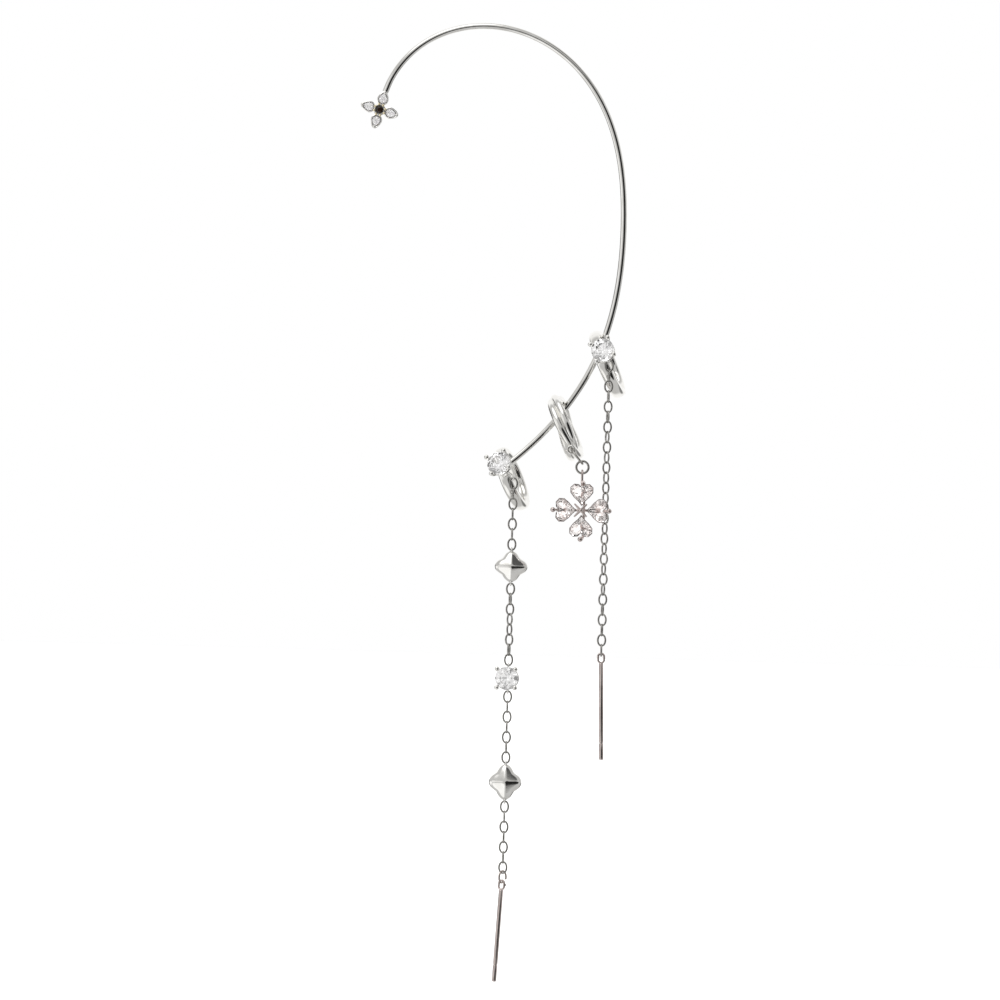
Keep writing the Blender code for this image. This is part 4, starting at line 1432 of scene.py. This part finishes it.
    def build(self, shop: Workshop, drawer: WireDrawer, eye: Vector, eye_radius: float) -> None:
        """Makes the charm below a cuff's eye.

        Args:
            shop: The workshop that finishes the pieces.
            drawer: What draws wires.
            eye: The eye's place.
            eye_radius: Its radius.
        """
        bail_top = self.rings(shop, eye, eye_radius)
        bail = bail_top - Vector((0.0, 0.0, self.bail_height / 2))
        fall = self.inner + self.heart_length + self.bail_over_tip
        centre = bail - Vector((0.0, self.forward, fall))
        face = at(centre) @ turned(Axis.Z, self.turn) @ turned(Axis.X, 90.0)
        shell = Shell()
        self.metal(shell, drawer, face)
        for index in range(4):
            self.stone(shop, drawer, face, index)
        shell.ring(self.bail_radius, self.wire, at(bail) @ turned(Axis.Z, 90.0),
                   self.bail_height - 2 * self.bail_radius)
        shop.fit("charm_metal", shell.mesh(SOFT), ROSE_SILVER, "charm_frame")


@dataclass
class MetalBead:
    """A four-pointed polished bead, its faces folded along the lines between its points."""

    name: str
    node: str
    height: float
    width: float = 4.2 * MM
    depth: float = 2.4 * MM
    waist: float = 0.77
    lobe_power: float = 0.9
    ridge_softness: float = 0.05
    slope: float = 0.9
    pillow: float = 0.9
    rim_start: float = 0.76
    rim_height: float = 0.16
    tip_below_eye: float = 0.09 * MM
    points: int = 96
    shares: tuple[float, ...] = (0.08, 0.25, 0.45, 0.62, 0.76, 0.84, 0.91, 0.96, 0.99)
    eye: ChainEye = field(default_factory=ChainEye)

    def outline(self) -> list[Pair]:
        """The bead's edge, with soft waists between its points.

        Returns:
            The outline.
        """
        edge = []
        for index in range(self.points):
            angle = math.tau * index / self.points
            lobe = 0.5 + 0.5 * math.cos(4 * angle)
            reach = self.waist + (1.0 - self.waist) * lobe**self.lobe_power
            across, up = reach * self.width / 2, reach * self.height / 2
            edge.append((across * math.cos(angle), up * math.sin(angle)))
        return edge

    def rise(self, x: float, y: float, share: float) -> float:
        """How high the front stands over the bead's middle at a place.

        Args:
            x: How far right the place is.
            y: How far up it is.
            share: The share of the edge's reach that it is at.

        Returns:
            The height.
        """
        soft = self.ridge_softness
        across = math.hypot(2 * x / self.width, soft) - soft
        up = math.hypot(2 * y / self.height, soft) - soft
        slope = max(0.0, 1.0 - self.slope * (across + up)) ** self.pillow
        past = max(0.0, (share - self.rim_start) / (1.0 - self.rim_start))
        rim = math.sqrt(max(0.0, 1.0 - past**2))
        return rim * (self.rim_height + (1.0 - self.rim_height) * slope) * self.depth / 2

    def build(self, shop: Workshop, hook: Hook) -> Hook:
        """Makes the bead with its two eyes.

        Args:
            shop: The workshop that finishes the pieces.
            hook: What it hangs on.

        Returns:
            Its lower eye, as the next hook.
        """
        upper_eye = Vector((hook.place.x, hook.place.y, self.eye.height(hook)))
        middle = upper_eye - Vector((0.0, 0.0, self.height / 2 + self.tip_below_eye))
        lower_eye = 2 * middle - upper_eye
        front = at(middle) @ turned(Axis.X, 90.0)
        edge = self.outline()
        shell = Shell()
        loops = []
        for sign, shares in ((-1.0, self.shares), (0.0, (1.0,)), (1.0, self.shares[::-1])):
            for share in shares:
                places = (Vector((x, y, sign * self.rise(x, y, share))) for x, y in shrunk(edge, share))
                loops.append(shell.loop(front @ place for place in places))
        top = self.rise(0.0, 0.0, 0.0)
        back, face = (shell.loop([front @ Vector((0.0, 0.0, sign * top))]) for sign in (-1.0, 1.0))
        for lower, upper in zip([back, *loops], [*loops, face]):
            shell.bridge(lower, upper)
        for place in (upper_eye, lower_eye):
            self.eye.add(shell, place)
        shop.fit(self.name, shell.mesh(PILLOWED), BRIGHT_SILVER, self.node)
        return self.eye.hook(lower_eye)


@dataclass
class ChainStone:
    """The round stone in the left chain, turned a little aside in its setting."""

    yaw: float = 12.0
    foot: float = 1.6 * MM
    foot_radius: float = 0.75 * MM
    foot_half: float = 0.1 * MM
    setting: Setting = field(default_factory=Setting)
    eye: ChainEye = field(default_factory=ChainEye)

    def build(self, shop: Workshop, drawer: WireDrawer, hook: Hook) -> Hook:
        """Makes the setting and its stone.

        Args:
            shop: The workshop that finishes the pieces.
            drawer: What draws wires.
            hook: What it hangs on.

        Returns:
            Its lower eye, as the next hook.
        """
        upper_eye = Vector((hook.place.x, hook.place.y, self.eye.height(hook)))
        reach = Vector((0.0, 0.0, self.setting.gallery + self.eye.radius))
        middle = upper_eye - reach
        front = at(middle) @ turned(Axis.Z, -self.yaw) @ turned(Axis.X, 90.0)
        front @= moved(z=self.setting.gallery_depth)
        shell = Shell()
        self.setting.claws(shell, front, self.foot, drawer)
        low, high = -self.foot - self.foot_half, -self.foot + self.foot_half
        shell.lathe(((0.0, low), (self.foot_radius, low), (self.foot_radius, high), (0.0, high)), front)
        for place in (upper_eye, middle - reach):
            self.eye.add(shell, place)
        shop.fit("chain_setting_metal", shell.mesh(CRISP), BRIGHT_SILVER, "chain_setting")
        shop.fit("chain_gem", self.setting.stone.mesh(front), CLEAR_STONE, "chain_stone")
        return self.eye.hook(middle - reach)


# Where on a ring its lowest wire is, in degrees from +X
LOWEST = -90.0


@dataclass
class OpenRing:
    """The jump ring left open at the left chain's end, its tail pointing down.

    sweep and end are in degrees round the ring, and rise is how far it springs sideways in half a turn.
    """

    radius: float = 0.76 * MM
    wire: float = 0.12 * MM
    turn: float = 60.0
    sweep: float = 325.0
    end: float = -60.0
    rise: float = 0.12 * MM
    tail: float = 0.85 * MM
    tail_slope: float = 1.6
    steps: int = 48

    def build(self, shop: Workshop, drawer: WireDrawer, hook: Hook) -> Hook:
        """Makes the ring.

        Args:
            shop: The workshop that finishes the pieces.
            drawer: What draws wires.
            hook: What it hangs on.

        Returns:
            Its lowest wire, as the next hook.
        """
        height = hook.place.z + hook.wire + self.wire + GAP - self.radius
        own = moved(hook.place.x, hook.place.y, height) @ turned(Axis.Z, self.turn)
        places = []
        for index in range(self.steps + 1):
            degrees = self.end - self.sweep * (1.0 - index / self.steps)
            angle = math.radians(degrees)
            shift = self.rise * (1.0 + (degrees - LOWEST) / 180.0)
            places.append(Vector((self.radius * math.cos(angle), shift, self.radius * math.sin(angle))))
        leave = (places[-1] - places[-2]).normalized()
        places.append(places[-1] + (leave + Vector((1.0, 0.0, -self.tail_slope))).normalized() * self.tail)
        mesh = drawer.draw([own @ place for place in places], self.wire)
        # The open ring takes the darker rose plating: painted shade over the whole ring
        shop.fit("open_loop", Shell().take(mesh).mesh(), ROSE_PAINTED_SHADE, "open_ring")
        return Hook(own @ Vector((0.0, self.rise, -self.radius)), self.wire)


@dataclass
class DropRod:
    """A thin rod with an oval eye and a groove near its foot."""

    name: str
    node: str
    length: float
    lean: float
    eye_turn: float
    radius: float = 0.29 * MM
    groove_at: float = 2.1 * MM
    groove_depth: float = 0.06 * MM
    groove_width: float = 0.16 * MM
    eye_length: float = 1.45 * MM
    eye_width: float = 1.05 * MM
    eye_wire: float = 0.14 * MM
    ease: float = 0.03 * MM
    sides: int = 28
    foot_curve: tuple[Pair, ...] = ((0.0, 0.0), (0.55, 0.04), (0.85, 0.2), (1.0, 0.6))
    top_curve: tuple[Pair, ...] = ((1.0, 0.5), (0.8, 0.1), (0.5, 0.0), (0.0, 0.0))

    def profile(self, foot: float, top: float) -> list[Pair]:
        """The rod's outline, its ends and groove eased.

        Args:
            foot: The height of its foot.
            top: The height of its top.

        Returns:
            Pairs of radius and height.
        """
        radius, ease = self.radius, self.ease
        neck, lip = radius - self.groove_depth, radius - ease / 2
        low = foot + self.groove_at
        high = low + self.groove_width
        start = [(share * radius, foot + over * radius) for share, over in self.foot_curve]
        groove = [(radius, low - ease), (lip, low), (neck, low + ease), (neck, high - ease), (lip, high),
                  (radius, high + ease)]
        return start + groove + [(share * radius, top - under * radius) for share, under in self.top_curve]

    def build(self, shop: Workshop, hook: Hook) -> None:
        """Makes the rod.

        Args:
            shop: The workshop that finishes the pieces.
            hook: What it hangs on.
        """
        height = hook.middle(self.eye_length, self.eye_wire)
        own = moved(hook.place.x, hook.place.y, height) @ turned(Axis.Y, self.lean)
        top = -self.eye_length / 2 + SOLDER
        shell = Shell().lathe(self.profile(top - self.length, top), own, self.sides)
        shell.ring(self.eye_width / 2 - self.eye_wire, self.eye_wire, own @ turned(Axis.Z, self.eye_turn),
                   self.eye_length - self.eye_width)
        shop.fit(self.name, shell.mesh(SOFT), ROSE_SILVER, self.node)


@dataclass(frozen=True)
class Card:
    """A soft-edged round card or soft box in the studio's surround.

    azimuth runs from the camera towards the right and elevation up, in degrees. reach is the half-width of
    the card's even middle and soft the width of its edge, in degrees. light is how bright it is.
    """

    azimuth: float
    elevation: float
    reach: float
    soft: float
    light: float

    def hang(self, tree: bpy.types.NodeTree, direction: bpy.types.NodeSocket,
             behind: object) -> bpy.types.NodeSocket:
        """Puts the card in front of what is behind it.

        Args:
            tree: The world's node tree.
            direction: The direction that is looked in.
            behind: How bright it is there without the card, a number or a socket.

        Returns:
            How bright it is with the card.
        """
        azimuth, elevation = math.radians(self.azimuth), math.radians(self.elevation)
        towards = (math.sin(azimuth) * math.cos(elevation), -math.cos(azimuth) * math.cos(elevation),
                   math.sin(elevation))
        facing = tree.nodes.new("ShaderNodeVectorMath")
        facing.operation = "DOT_PRODUCT"
        facing.inputs[1].default_value = towards
        tree.links.new(direction, facing.inputs[0])
        cover = tree.nodes.new("ShaderNodeMapRange")
        cover.interpolation_type = "SMOOTHSTEP"
        cover.inputs["From Min"].default_value = math.cos(math.radians(self.reach + self.soft))
        cover.inputs["From Max"].default_value = math.cos(math.radians(self.reach))
        tree.links.new(facing.outputs["Value"], cover.inputs["Value"])
        mix = tree.nodes.new("ShaderNodeMix")
        tree.links.new(cover.outputs["Result"], mix.inputs["Factor"])
        if isinstance(behind, bpy.types.NodeSocket):
            tree.links.new(behind, mix.inputs[2])
        else:
            mix.inputs[2].default_value = behind
        mix.inputs[3].default_value = self.light
        return mix.outputs[0]


@dataclass
class Studio:
    """A plain pale floor, soft lights and the camera at the photo's angle.

    stone_lift is how much brighter the surround is to rays that have passed through a stone. It stands for
    the light that a real cut stone throws back.
    """

    roll: float = 1.6
    centre: Vector = field(default_factory=lambda: Vector((3.35 * MM, 0.0, -60.2 * MM)))
    view_width: float = 128.0 * MM
    distance: float = 1.4
    floor_height: float = -123.0 * MM
    floor_half: float = 3.0
    floor_greys: tuple[Colour, Colour] = ((0.93, 0.93, 0.93), (0.96, 0.96, 0.96))
    sun_strength: float = 2.2
    sun_spread: float = 60.0
    walls: float = 0.60
    wall_tint: Colour = (1.0, 0.995, 0.985)
    stone_lift: float = 0.34
    cards: tuple[Card, ...] = (
        Card(180.0, 5.0, 52.0, 20.0, 1.05),
        Card(-128.0, -5.0, 16.0, 16.0, 0.16),
        Card(125.0, -20.0, 12.0, 14.0, 0.25),
        Card(-40.0, 62.0, 20.0, 10.0, 1.7),
        Card(-55.0, 8.0, 14.0, 10.0, 0.95),
        Card(-88.0, -14.0, 14.0, 12.0, 1.1),
        Card(-48.0, -46.0, 14.0, 12.0, 1.15),
        Card(52.0, 44.0, 9.0, 8.0, 0.10),
        Card(38.0, -6.0, 27.0, 8.0, 0.02),
        Card(12.0, -6.0, 14.0, 9.0, 0.03),
    )

    def camera(self) -> None:
        """Places the camera level with the middle of the piece, with a long lens."""
        data = bpy.data.cameras.new("camera")
        data.lens = data.sensor_width * self.distance / self.view_width
        roll = math.radians(self.roll)
        right = Vector((math.cos(roll), 0.0, math.sin(roll)))
        up = Vector((-math.sin(roll), 0.0, math.cos(roll)))
        back = Vector((0.0, -1.0, 0.0))
        camera = bpy.data.objects.new("camera", data)
        turn = Matrix((right, up, back)).transposed().to_4x4()
        camera.matrix_world = at(self.centre + back * self.distance) @ turn
        bpy.context.scene.collection.objects.link(camera)
        bpy.context.scene.camera = camera

    def floor(self) -> None:
        """Lays the pale floor."""
        shell = Shell()
        half = self.floor_half
        corners = ((-half, -half), (half, -half), (half, half), (-half, half))
        shell.shape.faces.new(shell.loop(Vector((x, y, self.floor_height)) for x, y in corners))
        mesh = shell.mesh()
        mesh.name = "floor"
        sketch = ShaderSketch("pale_floor")
        grain = sketch.noise(0.02, detail=2.0)
        sketch.link(sketch.blended(grain, *self.floor_greys), sketch.shader.inputs["Base Color"])
        sketch.put(Roughness=0.9)
        mesh.materials.append(sketch.material)
        floor = bpy.data.objects.new("floor", mesh)
        floor.visible_glossy = False
        floor.visible_transmission = False
        bpy.context.scene.collection.objects.link(floor)

    def sun(self) -> None:
        """Lights the floor evenly and softly from above."""
        data = bpy.data.lights.new("soft_sun", "SUN")
        data.energy = self.sun_strength
        data.angle = math.radians(self.sun_spread)
        data.specular_factor = 0.0
        sun = bpy.data.objects.new("soft_sun", data)
        sun.visible_glossy = False
        bpy.context.scene.collection.objects.link(sun)

    def world(self) -> None:
        """The surround that polished metal and stones reflect, and the white that the camera sees."""
        world = bpy.data.worlds.new("surround")
        bpy.context.scene.world = world
        world.use_nodes = True
        tree = world.node_tree
        place = tree.nodes.new("ShaderNodeTexCoord")
        light: object = self.walls
        for card in self.cards:
            light = card.hang(tree, place.outputs["Generated"], light)
        surround = tree.nodes["Background"]
        path = tree.nodes.new("ShaderNodeLightPath")
        lifted = tree.nodes.new("ShaderNodeMath")
        lifted.operation = "MULTIPLY_ADD"
        tree.links.new(path.outputs["Is Transmission Ray"], lifted.inputs[0])
        lifted.inputs[1].default_value = self.stone_lift
        tree.links.new(light, lifted.inputs[2])
        tree.links.new(lifted.outputs[0], surround.inputs["Strength"])
        surround.inputs["Color"].default_value = (*self.wall_tint, 1.0)
        seen = tree.nodes.new("ShaderNodeBackground")
        seen.inputs["Color"].default_value = (1.0, 1.0, 1.0, 1.0)
        mix = tree.nodes.new("ShaderNodeMixShader")
        tree.links.new(path.outputs["Is Camera Ray"], mix.inputs["Fac"])
        tree.links.new(surround.outputs[0], mix.inputs[1])
        tree.links.new(seen.outputs[0], mix.inputs[2])
        tree.links.new(mix.outputs[0], tree.nodes["World Output"].inputs["Surface"])

    def build(self) -> None:
        """Sets up the whole studio."""
        self.camera()
        self.floor()
        self.world()
        self.sun()
        bpy.context.scene.view_settings.view_transform = "Standard"


# Where the cuffs hang, from the top down

UPPER_SEAT = Seat(radius=4.55 * MM, seat=2.24 * MM, from_foot=20.0 * MM, lean=23.5, yaw=7.0, swing=12.0)
TWISTED_SEAT = Seat(radius=4.5 * MM, seat=2.22 * MM, from_foot=10.04 * MM, lean=21.5, yaw=4.0, swing=-35.0)
LOWER_SEAT = Seat(radius=4.25 * MM, seat=2.0 * MM, from_foot=0.52 * MM, lean=22.8, yaw=11.0, swing=35.0)


def strand(shop: Workshop, links: LinkMaker, node: str, hook: Hook, count: int, twist: float) -> Hook:
    """Makes one stretch of chain in place of a node.

    Args:
        shop: The workshop that finishes the pieces.
        links: What makes links.
        node: The node's name.
        hook: What it hangs on.
        count: How many links it has.
        twist: How far it twists from end to end past a quarter turn at each link, in degrees.

    Returns:
        Its last link, as the next hook.
    """
    mesh, following = links.hang(hook, count, twist)
    shop.fit(node + "_links", mesh, LINK_SILVER, node)
    return following


def main() -> None:
    """Builds the studio and the ear cuff's pieces in order, from the wire down."""
    logging.basicConfig(level=logging.INFO, format="%(name)s: %(message)s")
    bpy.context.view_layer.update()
    shop, drawer, links = Workshop(), WireDrawer(), LinkMaker()
    Studio().build()

    wire = EarWire()
    wire.build(shop, drawer)
    FlowerTip().build(shop, wire)

    upper = StoneCuff("upper_cuff", UPPER_SEAT, stone_angle=73.0, stone_side=0.8 * MM, eye_side=1.0 * MM,
                      eye_drop=1.16 * MM)
    hook = upper.build(shop, wire, drawer)
    hook = strand(shop, links, "right_chain", hook, count=29, twist=90.0)
    DropRod("right_drop", "right_rod", length=12.4 * MM, lean=-1.6, eye_turn=0.0).build(shop, hook)

    twisted = TwistedCuff(TWISTED_SEAT)
    eye = twisted.build(shop, wire, drawer)
    CloverCharm().build(shop, drawer, eye, twisted.eye_radius)

    lower = StoneCuff("lower_cuff", LOWER_SEAT, stone_angle=66.0, stone_side=0.2 * MM, eye_side=1.25 * MM,
                      eye_drop=2.03 * MM)
    hook = lower.build(shop, wire, drawer)
    hook = strand(shop, links, "left_chain_1", hook, count=7, twist=0.0)
    hook = MetalBead("upper_metal_bead", "upper_bead", height=4.0 * MM).build(shop, hook)
    hook = strand(shop, links, "left_chain_2", hook, count=8, twist=90.0)
    hook = ChainStone().build(shop, drawer, hook)
    hook = strand(shop, links, "left_chain_3", hook, count=7, twist=0.0)
    hook = MetalBead("lower_metal_bead", "lower_bead", height=4.6 * MM).build(shop, hook)
    hook = strand(shop, links, "left_chain_4", hook, count=7, twist=0.0)
    hook = OpenRing().build(shop, drawer, hook)
    DropRod("left_drop", "left_rod", length=11.8 * MM, lean=2.9, eye_turn=-30.0).build(shop, hook)

    LOG.info("%d pieces", shop.count)


if __name__ == "__main__":
    main()
